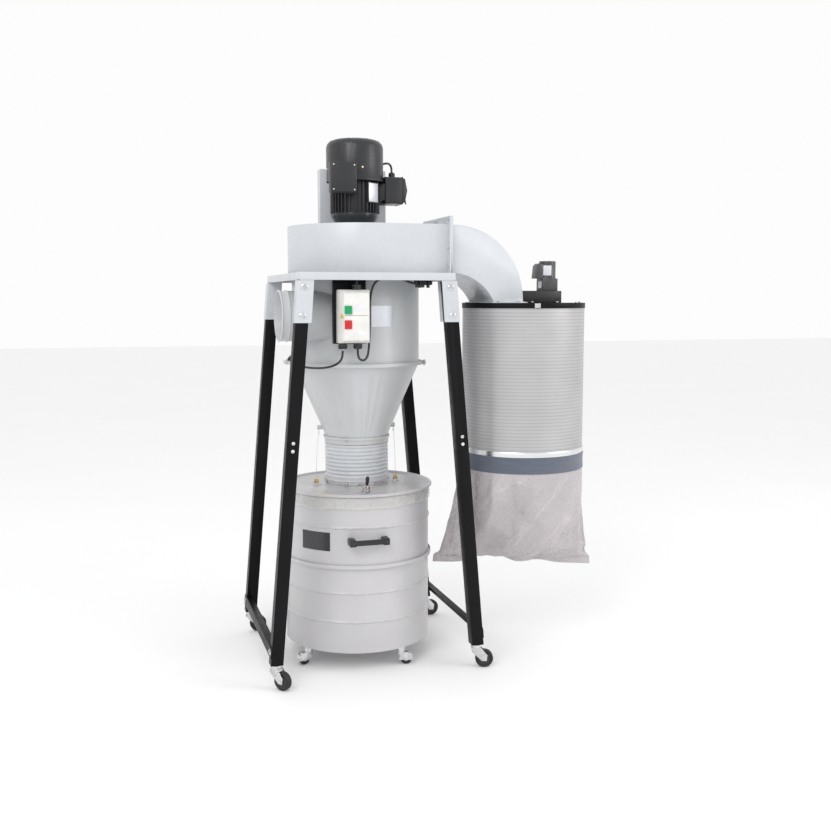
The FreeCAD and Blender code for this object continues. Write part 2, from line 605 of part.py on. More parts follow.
def motor_boxes():
    """Capacitor box at the front left and terminal box at the right with its gland."""
    x0, y0, z0, x1, z1 = CAPACITOR_BOX
    y1 = -COVER_R - BOX_GAP
    cap = block(x0, y0, z0, x1, y1, z1)
    cap = cap.makeFillet(7.0, [e for e in cap.Edges if e.Length > 100.0])
    stand_off = block(-98.0, y1 - 1.0, z0 + 19.0, -48.0, -40.0, z0 + 51.0)
    stand_off = stand_off.cut(drum(FIN_R, z0 - 50.0, z1))
    cap = fuse([cap, stand_off])
    x0, y0, z0, x1, y1, z1 = TERMINAL_BOX
    box = block(x0, y0, z0, x1, y1, z1)
    box = box.makeFillet(6.0, [e for e in box.Edges if e.BoundBox.XLength > 70.0])
    ridge = [(x1 + 1.0, z0 + 4.0), (x1 + 12.0, z0 + 7.0), (x1 + 22.0, z0 + 57.0), (x1 + 12.0, z1 - 6.0),
             (x1 + 1.0, z1 - 3.0)]
    lid = prism_xz(ridge, y0 + 2.0, y1 - 2.0)
    seal = block(x1 - 1.0, y0 + 4.0, z0 + 7.0, x1 + 2.0, y1 - 4.0, z1 - 6.0)
    neck = block(FIN_R - 6.0, y0 + 14.0, z0 + 15.0, x0 + 1.0, y1 - 14.0, z1 - 28.0)
    neck = neck.cut(drum(FIN_R, z0 - 50.0, z1))
    stem = drum(10.0, z1 - 1.0, z1 + 18.0, *TERMINAL_GLAND)
    nut = hexagon(26.0, 8.0, V(*TERMINAL_GLAND, z1), UP)
    gland = stem.fuse(nut).cut(drum(CABLE_D / 2.0, z1 + 6.0, z1 + 26.0, *TERMINAL_GLAND))
    box = fuse([box, neck, gland, seal])
    keep("motor_boxes", [cap, fuse([box, lid])])


def motor_bracket():
    x0, x1 = MOTOR_PANEL_X
    y0 = MOTOR_PANEL_Y
    t = 4.0
    panel = block(x0, y0, BLOWER_TOP, x1, y0 + t, MOTOR_PANEL_TOP)
    sides = [block(x, y0, BLOWER_TOP, x + t, y0 + 50.0, MOTOR_PANEL_TOP) for x in (x0, x1 - t)]
    foot = block(x0, y0, BLOWER_TOP, x1, y0 + 50.0, BLOWER_TOP + t)
    bracket = fuse([panel, foot] + sides)
    keep("motor_bracket", bracket)


# ---- cyclone --------------------------------------------------------------------------------
INLET_Y = -(BARREL_R - INLET_R - INLET_SET_IN)


def cyclone():
    barrel = ring(BARREL_R, BARREL_R - SHEET, BARREL_BOTTOM, PLATE_UNDER)
    flange = ring(BARREL_R + BARREL_FLANGE, BARREL_R - SHEET, BARREL_BOTTOM, BARREL_BOTTOM + 3.0)
    barrel = fuse([barrel, flange])
    start = V(INLET_END_X, INLET_Y, INLET_Z)
    end = V(INLET_RUN_OUT_X, INLET_Y, INLET_Z)
    bore = rod(INLET_R - SHEET - INLET_STOP, start.sub(V(5, 0, 0)), end)
    mouth = rod(INLET_R - SHEET, start.sub(V(5, 0, 0)), start.add(V(INLET_MOUTH, 0, 0)))
    barrel = barrel.cut(bore)
    pipe = rod(INLET_R, start, end)
    for step in (0.0, INLET_BEAD_STEP):
        bead = rod(INLET_R + 3.5, start.add(V(step, 0, 0)), start.add(V(step + 6.0, 0, 0)))
        rims = [e for e in bead.Edges if e.Curve.TypeId == "Part::GeomCircle"]
        pipe = pipe.fuse(bead.makeFillet(2.5, rims))
    pipe = pipe.cut(bore).cut(mouth).cut(drum(BARREL_R, BARREL_BOTTOM, PLATE_TOP)).removeSplitter()
    pipe = max(pipe.Solids, key=lambda s: s.Volume)
    keep("cyclone_barrel", [barrel, pipe])

    tube = ring(VORTEX_R, VORTEX_R - SHEET, VORTEX_BOTTOM, PLATE_UNDER)
    lip = ring(VORTEX_R + 16.0, VORTEX_R - SHEET, PLATE_UNDER - 3.0, PLATE_UNDER)
    keep("vortex_tube", fuse([tube, lip]))

    top = BARREL_BOTTOM
    flange_r = BARREL_R + BARREL_FLANGE
    cone = turned([(BARREL_R, top - 3.0), (flange_r, top - 3.0), (flange_r, top),
                   (BARREL_R - SHEET, top), (CONE_END_R - SHEET, CONE_BOTTOM),
                   (CONE_END_R - SHEET, CONE_BOTTOM - CONE_SPIGOT), (CONE_END_R, CONE_BOTTOM - CONE_SPIGOT),
                   (CONE_END_R, CONE_BOTTOM)])
    tabs = []
    for sx in (-1, 1):
        ends = sorted((sx * (CONE_END_R + 3.0), sx * HOOK_X))
        tab = block(ends[0], -4.0, HOOK_Z - 9.0, ends[1], 4.0, HOOK_Z + 9.0)
        hole = rod(3.5, V(sx * (HOOK_X - 6.0), -9.0, HOOK_Z), V(sx * (HOOK_X - 6.0), 9.0, HOOK_Z))
        inside = Part.makeCone(CONE_END_R - SHEET, BARREL_R - SHEET, BARREL_BOTTOM - CONE_BOTTOM,
                               V(0, 0, CONE_BOTTOM))
        tabs.append(tab.cut(hole).cut(inside))
    keep("cyclone_cone", fuse([cone] + tabs))


def clamp_bands():
    """V-band round the barrel flanges with two bolted lugs, and the band round the hose's upper end."""
    inner = BARREL_R + BARREL_FLANGE + 0.3
    band = ring(inner + 3.5, inner, BARREL_BOTTOM - 7.0, BARREL_BOTTOM + 7.0)
    lugs = []
    for angle, reach in zip(LUG_ANGLES, LUG_REACH):
        ear = block(inner + 2.0, -9.0, BARREL_BOTTOM - 7.0, inner + 3.5 + reach, -5.0, BARREL_BOTTOM + 7.0)
        twin = block(inner + 2.0, 5.0, BARREL_BOTTOM - 7.0, inner + 3.5 + reach, 9.0, BARREL_BOTTOM + 7.0)
        pin_r = inner + 2.0 + reach * 0.6
        pin = rod(3.5, V(pin_r, -16.0, BARREL_BOTTOM), V(pin_r, 16.0, BARREL_BOTTOM))
        lugs += [moved(piece, angle, 0, 0) for piece in (ear, twin, pin)]
    hose_out = CONE_END_R + 0.5 + HOSE_WALL
    upper = hose_band(hose_out, CONE_BOTTOM - 18.0)
    keep("clamp_bands", [fuse([band] + lugs), upper])


def hose_band(radius, z):
    band = ring(radius + 1.8, radius + 0.3, z, z + 10.0)
    screw = rod(4.5, polar(radius + 7.0, 232.0, z + 5.0), polar(radius + 7.0, 242.0, z + 5.0))
    housing = moved(block(radius + 1.0, -9.0, z, radius + 7.0, 9.0, z + 10.0), 237.0, 0, 0)
    return fuse([band, housing, screw])


def flex_hose():
    inner = CONE_END_R + 0.5
    outer = inner + HOSE_WALL
    pitch = 17.0
    points = [(inner, HOSE_BOTTOM), (outer, HOSE_BOTTOM)]
    ribs = int((CONE_BOTTOM - 28.0 - HOSE_BOTTOM - 34.0) // pitch)
    for i in range(ribs):
        z = HOSE_BOTTOM + 34.0 + pitch * i
        points += [(outer, z), (outer + 3.0, z + 4.0), (outer + 3.0, z + 9.0), (outer, z + 13.0)]
    points += [(outer, CONE_BOTTOM - 0.5), (inner, CONE_BOTTOM - 0.5)]
    keep("flex_hose", turned(points))


def lift_wires():
    wires = []
    for sx in (-1, 1):
        centre = V(sx * (HOOK_X - 6.0), 0.0, HOOK_Z + 0.4 - HOOK_RING_R)
        top = centre.sub(V(0, 0, HOOK_RING_R))
        low = V(sx * PULLEY_X, PULLEY_Y, LID_FLAT + 34.0)
        hook = Part.makeTorus(HOOK_RING_R, 1.2, centre, V(1, 0, 0))
        wires.append(fuse([hook, rod(1.0, top, low)]))
    keep("lift_wires", wires)


# ---- elbow and filter -----------------------------------------------------------------------
ELBOW_X = OUTLET_X + GASKET_T
ELBOW_FACE = ELBOW_X + FLANGE_T
ELBOW_CX = 325.0


def elbow_duct(inset, extra):
    """Side view of the duct: a round outer wall and an inner wall that draws in towards the filter."""
    x0 = ELBOW_X - extra
    top = ELBOW_TOP_Z - inset
    low = ELBOW_LOW_Z + inset
    foot = FILTER_TOP - extra
    outer_r = ELBOW_R - inset
    cz = ELBOW_TOP_Z - ELBOW_R
    span = ELBOW_INNER_X - ELBOW_FACE
    drop = ELBOW_LOW_Z - FILTER_TOP
    inner_r = (span ** 2 + drop ** 2) / (2.0 * drop)
    centre_z = ELBOW_LOW_Z - inner_r
    r = inner_r + inset

    def on_inner(z):
        return ELBOW_FACE + math.sqrt(r ** 2 - (z - centre_z) ** 2)

    mid_z = (low + FILTER_TOP) / 2.0
    y = -SCROLL_FRONT + inset
    foot_in = V(on_inner(FILTER_TOP), y, FILTER_TOP)
    diag = outer_r * math.sqrt(0.5)
    outer_end = V(ELBOW_CX + outer_r, y, cz)
    lines = [(V(x0, y, low), V(x0, y, top)), (V(x0, y, top), V(ELBOW_CX, y, top))]
    edges = [Part.LineSegment(a, b).toShape() for a, b in lines]
    edges.append(Part.Arc(V(ELBOW_CX, y, top), V(ELBOW_CX + diag, y, cz + diag), outer_end).toShape())
    tail = [outer_end, V(outer_end.x, y, foot)]
    if extra > 0:
        tail += [V(foot_in.x, y, foot), foot_in]
    else:
        tail += [foot_in]
    edges += [Part.LineSegment(a, b).toShape() for a, b in zip(tail, tail[1:])]
    edges.append(Part.Arc(foot_in, V(on_inner(mid_z), y, mid_z), V(ELBOW_FACE, y, low)).toShape())
    edges.append(Part.LineSegment(V(ELBOW_FACE, y, low), V(x0, y, low)).toShape())
    face = Part.Face(Part.Wire(edges))
    return face.extrude(V(0, SCROLL_FRONT + OUTLET_INNER_Y - 2.0 * inset, 0))


def elbow_foot_bolts():
    x0, x1 = ELBOW_INNER_X - 8.0, ELBOW_CX + ELBOW_R + 8.0
    y0, y1 = -SCROLL_FRONT - 8.0, OUTLET_INNER_Y + 8.0
    z = FILTER_TOP + 3.0
    spots = [(x, y) for x in (x0 + 25.0, x1 - 30.0) for y in (y0, y1)]
    return [(V(x, y, z), V(0, 0, 1)) for x, y in spots]


def outlet_elbow():
    body = elbow_duct(0.0, 0.0)
    flange = block(ELBOW_X, -SCROLL_FRONT - FLANGE_RIM, PLATE_TOP, ELBOW_FACE, OUTLET_INNER_Y + FLANGE_RIM,
                   BLOWER_TOP + FLANGE_RIM)
    foot = block(ELBOW_INNER_X - 15.0, -SCROLL_FRONT - 15.0, FILTER_TOP, ELBOW_CX + ELBOW_R + 15.0,
                 OUTLET_INNER_Y + 15.0, FILTER_TOP + 3.0)
    body = fuse([body, flange, foot]).cut(elbow_duct(SHEET, 6.0))
    places = outlet_flange_bolts(ELBOW_FACE)
    body = drill(body, places)
    body = drill(body, elbow_foot_bolts())
    gasket = drill(duct_flange(OUTLET_X, ELBOW_X, PLATE_TOP), places, reach=20.0)
    keep("outlet_elbow", [body, gasket])


def top_ring_bolts():
    spots = [polar(FILTER_R - 14.0, a, FILTER_TOP, FILTER_X, FILTER_Y) for a in TOP_RING_ANGLES]
    return [(p, V(0, 0, 1)) for p in spots]


def filter_top_plate():
    r = FILTER_R + 2.5
    top = drum(r, FILTER_TOP - 3.0, FILTER_TOP, FILTER_X, FILTER_Y)
    skirt = ring(r, FILTER_R + 0.5, FILTER_TOP - FILTER_SKIRT, FILTER_TOP, FILTER_X, FILTER_Y)
    boss = drum(16.0, FILTER_TOP - 20.0, FILTER_TOP + 6.0, FILTER_X, FILTER_Y)
    mouth = block(ELBOW_INNER_X + SHEET + 2.0, -SCROLL_FRONT + SHEET, FILTER_TOP - 9.0,
                  ELBOW_CX + ELBOW_R - SHEET, OUTLET_INNER_Y - SHEET, FILTER_TOP + 9.0)
    plate = fuse([top, skirt, boss]).cut(mouth)
    plate = plate.cut(drum(SWEEPER_R + RUN_FIT, FILTER_TOP - 30.0, FILTER_TOP + 30.0, FILTER_X, FILTER_Y))
    plate = drill(plate, elbow_foot_bolts())
    keep("filter_top_plate", drill(plate, top_ring_bolts()))


def filter_cartridge():
    shell = ring(FILTER_R, FILTER_R - 1.5, FILTER_SHELL_BOTTOM, FILTER_TOP - 3.0, FILTER_X, FILTER_Y)
    neck = ring(FILTER_R, FILTER_R - 1.5, FILTER_NECK_BOTTOM, FILTER_SHELL_BOTTOM, FILTER_X, FILTER_Y)
    bead = ring(FILTER_R + 3.0, FILTER_R - 0.5, STRAP_Z[1] + 1.0, FILTER_SHELL_BOTTOM, FILTER_X, FILTER_Y)
    bead = bead.makeFillet(1.4, [e for e in bead.Edges if e.Curve.TypeId == "Part::GeomCircle"
                                 and e.Curve.Radius > FILTER_R + 2.0])
    shelf_top = FILTER_SHELL_BOTTOM - 2.0
    shelf = ring(FILTER_R - 1.5, FILTER_R - 45.0, shelf_top - 2.0, shelf_top, FILTER_X, FILTER_Y)
    keep("filter_shell", [shell, fuse([neck, bead, shelf])])
    outer = []
    inner = []
    for i in range(2 * PLEATS):
        angle = 180.0 * i / PLEATS
        reach = FILTER_R - 6.0 if i % 2 else FILTER_R - 40.0
        outer.append(polar(reach, angle, FILTER_SHELL_BOTTOM - 2.0, FILTER_X, FILTER_Y))
        inner.append(polar(reach - 2.5, angle, FILTER_SHELL_BOTTOM - 2.0, FILTER_X, FILTER_Y))
    height = V(0, 0, FILTER_TOP - 25.0 - FILTER_SHELL_BOTTOM + 2.0)
    keep("filter_media", polygon(outer).extrude(height).cut(polygon(inner).extrude(height)))


def bag_section(half_width, half_depth, z, drift, inset):
    ellipse = Part.Ellipse(V(0, 0, 0), half_width - inset, half_depth - inset).toShape()
    wire = Part.Wire([ellipse])
    wire.rotate(V(0, 0, 0), UP, BAG_TURN)
    wire.translate(V(FILTER_X + drift, FILTER_Y, z))
    return wire


def bag_body(inset, lift):
    """Round neck that flattens to a straight seam at the bottom."""
    neck = FILTER_R + 1.8
    top = STRAP_Z[0]
    steps = ((STRAP_Z[1] - 2.0, neck, neck - 0.01, 0.0), (top, neck, neck - 0.01, 0.0),
             (top - 70.0, neck + 14.0, neck - 22.0, -25.0), (top - 150.0, neck + 20.0, neck - 57.0, -40.0),
             (top - 250.0, neck + 44.0, neck - 122.0, -40.0), (top - 340.0, neck + 68.0, 75.0, -42.0),
             (BAG_BOTTOM + 28.0, neck + 80.0, 26.0, -45.0), (BAG_BOTTOM, neck + 82.0, 9.0, -45.0))
    return [bag_section(a, b, z + (lift if z < BAG_BOTTOM + 5.0 else 0.0), d, inset) for z, a, b, d in steps]


def dust_bag():
    wall = 1.0
    outer = bag_body(0.0, 0.0)
    inner = bag_body(wall, 3.0)
    neck_out = Part.makeLoft(outer[:2], True, True)
    neck_in = Part.makeLoft(inner[:2], True, True)
    body_out = Part.makeLoft(outer[1:], True, False)
    body_in = Part.makeLoft(inner[1:], True, False)
    bag = neck_out.fuse(body_out).cut(neck_in.fuse(body_in))
    keep("dust_bag", bag)


def bag_strap():
    inner = FILTER_R + 2.1
    band = ring(inner + 3.0, inner, STRAP_Z[0], STRAP_Z[1], FILTER_X, FILTER_Y)
    keep("bag_strap", band)


def cleaning_drive():
    x0, y0, x1, y1 = COVER_BOX
    top = COVER_BOX_TOP
    cover = block(x0, y0, FILTER_TOP, x1, y1, top)
    cover = cover.makeFillet(3.0, [e for e in cover.Edges if e.BoundBox.ZMin > top - 1.0])
    cover = cover.cut(block(x0 + 2.0, y0 + 2.0, FILTER_TOP - 1.0, x1 - 2.0, y1 - 2.0, top - 2.0))
    cover = cover.cut(drum(13.0, top - 5.0, top + 5.0, GEARMOTOR_X, FILTER_Y))
    feet = [block(x, y0 - 10.0, FILTER_TOP, x + 14.0, y0 + 1.0, FILTER_TOP + 2.0) for x in COVER_FEET_X]
    keep("drive_cover", fuse([cover] + feet))
    half = 35.0
    head = block(GEARMOTOR_X - half, FILTER_Y - half, top, GEARMOTOR_X + half, FILTER_Y + half, top + 52.0)
    head = head.makeFillet(4.0, [e for e in head.Edges if e.BoundBox.ZLength > 50.0])
    motor = drum(35.5, top + 52.0, top + 126.0, GEARMOTOR_X, FILTER_Y)
    motor = motor.makeFillet(3.0, [motor.Edges[0]])
    outline = [(-62.0, 52.0), (-34.0, 52.0), (-30.0, 60.0), (-30.0, 112.0), (-46.0, 116.0), (-56.0, 106.0)]
    case = prism_xz(outline, -26.0, 26.0)
    case.translate(V(GEARMOTOR_X, FILTER_Y, top))
    case = case.cut(drum(34.0, top + 40.0, top + 130.0, GEARMOTOR_X, FILTER_Y))
    back = FILTER_Y + half
    entry = rod(8.0, V(GEARMOTOR_X, back - 3.0, DRIVE_ENTRY_Z), V(GEARMOTOR_X, back + 9.0, DRIVE_ENTRY_Z))
    unit = fuse([head, motor, case, entry])
    unit = unit.cut(drum(5.0 + RUN_FIT, top - 1.0, top + 26.0, GEARMOTOR_X, FILTER_Y))
    unit = unit.cut(rod(CABLE_D / 2.0, V(GEARMOTOR_X, back, DRIVE_ENTRY_Z),
                        V(GEARMOTOR_X, back + 25.0, DRIVE_ENTRY_Z)))
    keep("gearmotor", unit)
    z0, z1 = PULLEY_Z
    keep("drive_pulley", fuse([drum(MOTOR_PULLEY_R, z0, z1, GEARMOTOR_X, FILTER_Y),
                               drum(5.0, z0, top + 24.0, GEARMOTOR_X, FILTER_Y)]))
    keep("drive_belt", belt(SLIDE_GAP, SLIDE_GAP + 2.0))
    shaft = drum(SWEEPER_R, 940.0, z1 + 6.0, FILTER_X, FILTER_Y)
    pulley = drum(SWEEPER_PULLEY_R, z0, z1, FILTER_X, FILTER_Y)
    arms = [block(FILTER_X - 205.0, FILTER_Y - 2.0, z, FILTER_X + 205.0, FILTER_Y + 2.0, z + 60.0)
            for z in (970.0, 1210.0, 1430.0)]
    flaps = [block(x - 12.0, FILTER_Y - 3.0, 960.0, x + 12.0, FILTER_Y + 3.0, 1495.0)
             for x in (FILTER_X - 190.0, FILTER_X + 190.0)]
    keep("sweeper", fuse([shaft, pulley] + arms + flaps))


def belt(gap_in, gap_out):
    """Open belt round the two pulleys: tangent sides and round ends."""
    z0, z1 = PULLEY_Z

    def loop(extra, low, high):
        ra = SWEEPER_PULLEY_R + extra
        rb = MOTOR_PULLEY_R + extra
        lean = math.degrees(math.acos((ra - rb) / (GEARMOTOR_X - FILTER_X)))
        corners = [polar(ra, lean, low, FILTER_X, FILTER_Y), polar(ra, -lean, low, FILTER_X, FILTER_Y),
                   polar(rb, -lean, low, GEARMOTOR_X, FILTER_Y), polar(rb, lean, low, GEARMOTOR_X, FILTER_Y)]
        span = polygon(corners).extrude(V(0, 0, high - low))
        ends = [drum(ra, low, high, FILTER_X, FILTER_Y), drum(rb, low, high, GEARMOTOR_X, FILTER_Y)]
        return fuse([span] + ends)

    return loop(gap_out, z0 + 1.0, z1 - 1.0).cut(loop(gap_in, z0 - 1.0, z1 + 1.0))


# ---- drum and lid ---------------------------------------------------------------------------
SEAL_Z = DRUM_TOP + LINER_T + 0.9 + SLIDE_GAP
LID_Z = SEAL_Z + SEAL_T
LID_FLAT = LID_Z + SHEET
LID_RIM = LID_Z + 10.5


def bead(radius, z):
    points = [(radius - 1.0, z - 7.0), (radius, z - 7.0), (radius + 3.0, z - 4.5), (radius + 4.5, z),
              (radius + 3.0, z + 4.5), (radius, z + 7.0), (radius - 1.0, z + 7.0)]
    return turned(points)


def dust_drum():
    r = DRUM_R
    wall = ring(r, r - SHEET, DRUM_BOTTOM, DRUM_SPLIT)
    base = drum(r, DRUM_BOTTOM, DRUM_BOTTOM + SHEET)
    lip = ring(r + 7.0, r - SHEET, DRUM_SPLIT - 3.0, DRUM_SPLIT)
    studs = []
    for place, turn in DRUM_CASTERS.values():
        spot = polar(DRUM_CASTER_RING, place)
        pad = drum(19.0, DRUM_BOTTOM - 3.0 + SLIDE_GAP, DRUM_BOTTOM, spot.x, spot.y)
        studs += [pad, drum(5.0, DRUM_BOTTOM - 14.0, DRUM_BOTTOM, spot.x, spot.y)]
    keep("drum_lower", fuse([wall, base, lip] + studs + [bead(r, z) for z in DRUM_BEADS_LOW]))
    upper = ring(r, r - SHEET, DRUM_SPLIT, DRUM_TOP)
    lip = ring(r + 7.0, r - SHEET, DRUM_SPLIT, DRUM_SPLIT + 3.0)
    rim = ring(r + 4.5, r - SHEET, DRUM_TOP - 8.0, DRUM_TOP)
    circles = [e for e in rim.Edges if e.Curve.TypeId == "Part::GeomCircle"]
    rim = rim.makeFillet(3.0, [e for e in circles if e.Curve.Radius > r + 4.0])
    keep("drum_upper", fuse([upper, lip, rim] + [bead(r, z) for z in DRUM_BEADS_HIGH]))
    inner = r + 7.3
    band = ring(inner + 3.5, inner, DRUM_SPLIT - 8.0, DRUM_SPLIT + 8.0)
    ears = []
    for y in (-10.0, 6.0):
        ears.append(block(inner + 2.0, y, DRUM_SPLIT - 8.0, inner + 22.0, y + 4.0, DRUM_SPLIT + 8.0))
    ears.append(rod(4.0, V(inner + 13.0, -22.0, DRUM_SPLIT), V(inner + 13.0, 20.0, DRUM_SPLIT)))
    keep("drum_clamp_ring", fuse([band] + [moved(e, 172.0, 0, 0) for e in ears]))


def drum_liner():
    """Bag that lines the drum and folds over its rim."""
    r_in = DRUM_R - SHEET - 3.0
    r_out = DRUM_R + 4.5 + 0.8
    t = LINER_T
    top = DRUM_TOP + 0.9
    z = DRUM_BOTTOM + SHEET + 1.0
    keep("drum_liner", turned([(0, z), (r_in, z), (r_in, top), (r_out, top), (r_out, LINER_SKIRT_Z),
                               (r_out + t, LINER_SKIRT_Z), (r_out + t, top + t), (r_in - t, top + t),
                               (r_in - t, z + t), (0, z + t)]))


def drum_handle():
    x0, x1 = HANDLE_X
    front = -(DRUM_R + 38.0)
    grip = rod(9.0, V(x0 + 14.0, front, HANDLE_Z), V(x1 - 14.0, front, HANDLE_Z))
    posts = []
    for x, s in ((x0, 1), (x1, -1)):
        root_x = x + s * 8.0
        root_y = -math.sqrt(DRUM_R ** 2 - root_x ** 2)
        corner = V(x + s * 14.0, front, HANDLE_Z)
        posts.append(rod(8.0, corner, V(root_x, root_y + 6.0, HANDLE_Z)))
        posts.append(Part.makeSphere(9.0, corner))
        posts.append(block(root_x - 13.0, root_y - 6.0, HANDLE_Z - 14.0, root_x + 13.0, root_y + 8.0,
                           HANDLE_Z + 14.0))
    body = fuse([grip] + posts).cut(drum(DRUM_R, HANDLE_Z - 60.0, HANDLE_Z + 60.0))
    keep("drum_handle", body)


def lid():
    profile = [(COLLAR_R - SHEET, LID_Z), (LID_R - 1.0, LID_Z), (LID_R, LID_Z + 2.0), (LID_R, LID_RIM - 3.0),
               (LID_R - 3.0, LID_RIM), (LID_R - 11.0, LID_RIM), (LID_R - 15.0, LID_FLAT), (COLLAR_R, LID_FLAT),
               (COLLAR_R, COLLAR_TOP), (COLLAR_R - SHEET, COLLAR_TOP)]
    seal = ring(LID_R - 3.0, LID_R - 28.0, SEAL_Z, LID_Z)
    keep("drum_lid", [turned(profile), seal])


def lid_fittings():
    """Wire pulleys in their cheeks, the lever's base and the band round the hose's lower end."""
    solids = []
    for sx in (-1, 1):
        x = sx * PULLEY_X
        foot = block(x - 14.0, PULLEY_Y - 12.0, LID_FLAT, x + 14.0, PULLEY_Y + 12.0, LID_FLAT + 2.5)
        cheeks = [block(c - 1.5, PULLEY_Y - 10.0, LID_FLAT, c + 1.5, PULLEY_Y + 10.0, LID_FLAT + 22.0)
                  for c in (x - 7.0, x + 7.0)]
        sheave = rod(11.0, V(x - 5.0, PULLEY_Y, LID_FLAT + 18.0), V(x + 5.0, PULLEY_Y, LID_FLAT + 18.0))
        pin = rod(2.5, V(x - 10.0, PULLEY_Y, LID_FLAT + 18.0), V(x + 10.0, PULLEY_Y, LID_FLAT + 18.0))
        solids.append(fuse([foot, sheave, pin] + cheeks))
    x, y = LEVER_X, LEVER_Y
    base = block(x - 22.0, y - 26.0, LID_FLAT, x + 22.0, y + 26.0, LID_FLAT + 3.0)
    ears = [block(c - 1.5, y - 14.0, LID_FLAT, c + 1.5, y + 14.0, LEVER_PIVOT + 8.0)
            for c in (x - 12.0, x + 12.0)]
    pin = rod(3.0, V(x - 16.0, y, LEVER_PIVOT), V(x + 16.0, y, LEVER_PIVOT))
    solids.append(fuse([base, pin] + ears))
    hose_out = CONE_END_R + 0.5 + HOSE_WALL
    solids.append(hose_band(hose_out, HOSE_BOTTOM + 12.0))
    keep("lid_fittings", solids)


def lid_lever():
    x, y, z = LEVER_X, LEVER_Y, LEVER_PIVOT
    hub = rod(9.0, V(x - 10.0, y, z), V(x + 10.0, y, z))
    arm = block(x - 5.0, y - 4.0, z, x + 5.0, y + 4.0, z + 26.0)
    grip = rod(8.5, V(x, y, z + 16.0), V(x, y, z + 44.0))
    grip = grip.makeFillet(5.0, [e for e in grip.Edges if e.BoundBox.ZMin > z + 43.0])
    lever = fuse([hub, arm, grip])
    lever = lever.cut(rod(3.0 + RUN_FIT, V(x - 20.0, y, z), V(x + 20.0, y, z)))
    lever.rotate(V(x, y, z), V(1, 0, 0), LEVER_LEAN)
    keep("lid_lever", lever)


# ---- switch and cables ----------------------------------------------------------------------
def switch():
    x0, x1, z0, z1 = SWITCH_BODY
    fx0, fx1, fz0, fz1 = SWITCH_FACE
    y1 = SWITCH_BACK_Y
    y0 = SWITCH_FRONT_Y + SWITCH_BEVEL

    def tapered(inset, front):
        back = Part.makePolygon([V(x0 + inset, y0, z0 + inset), V(x1 - inset, y0, z0 + inset),
                                 V(x1 - inset, y0, z1 - inset), V(x0 + inset, y0, z1 - inset),
                                 V(x0 + inset, y0, z0 + inset)])
        face = Part.makePolygon([V(fx0 + inset, front, fz0 + inset), V(fx1 - inset, front, fz0 + inset),
                                 V(fx1 - inset, front, fz1 - inset), V(fx0 + inset, front, fz1 - inset),
                                 V(fx0 + inset, front, fz0 + inset)])
        return Part.makeLoft([back, face], True, True)

    cover = fuse([tapered(0.0, SWITCH_FRONT_Y), block(x0, y0, z0, x1, y0 + 30.0, z1)])
    cover = cover.cut(tapered(3.0, SWITCH_FRONT_Y + 3.0))
    cover = cover.cut(block(x0 + 3.0, y0 - 0.1, z0 + 3.0, x1 - 3.0, y0 + 31.0, z1 - 3.0))
    for low, high in (START_Z, STOP_Z):
        cover = cover.cut(block(BUTTON_X[0] - SLIDE_GAP, SWITCH_FRONT_Y - 5.0, low - SLIDE_GAP,
                                BUTTON_X[1] + SLIDE_GAP, SWITCH_FRONT_Y + 15.0, high + SLIDE_GAP))
    base = block(x0, y0 + 30.0, z0, x1, y1, z1)
    base = base.cut(block(x0 + 3.0, y0 + 29.0, z0 + 3.0, x1 - 3.0, y1 - 3.0, z1 - 3.0))
    contactor = block(x0 + 20.0, y0 + 25.0, z0 + 70.0, x1 - 20.0, y1 - 3.0, z1 - 50.0)
    glands = []
    for x, z, s in [(g, z0, -1) for g in GLANDS_LOW] + [(GLAND_HIGH, z1, 1)]:
        stem = rod(12.0, V(x, GLAND_Y, z), V(x, GLAND_Y, z + s * 22.0))
        nut = hexagon(30.0, 14.0, V(x, GLAND_Y, z), V(0, 0, s))
        cap = rod(16.0, V(x, GLAND_Y, z + s * 22.0), V(x, GLAND_Y, z + s * 34.0))
        gland = fuse([stem, nut, cap])
        glands.append(gland.cut(rod(CABLE_D / 2.0, V(x, GLAND_Y, z + s * 12.0), V(x, GLAND_Y, z + s * 40.0))))
    keep("switch_box", [cover, base, contactor] + glands)
    for name, (low, high) in (("start_button", START_Z), ("stop_button", STOP_Z)):
        cap = block(BUTTON_X[0], SWITCH_FRONT_Y - BUTTON_TRAVEL - 1.5, low,
                    BUTTON_X[1], SWITCH_FRONT_Y + 14.0, high)
        keep(name, cap.makeFillet(1.0, [e for e in cap.Edges if e.BoundBox.YMax < SWITCH_FRONT_Y - 4.0]))
    t = PLATE_SHEET
    bx0, bx1 = x0 - 10.0, x1 + 1.0
    panel = block(bx0, y1, z0 - 5.0, bx1, y1 + t, PLATE_UNDER)
    sides = [block(x, y1, z0 - 5.0, x + t, y1 + 30.0, PLATE_UNDER) for x in (bx0, bx1 - t)]
    head = block(bx0, y1, PLATE_UNDER - t, bx1, y1 + 30.0, PLATE_UNDER)
    bracket = fuse([panel, head] + sides).cut(drum(BARREL_R + 1.0, z0 - 50.0, PLATE_TOP))
    keep("switch_bracket", bracket)


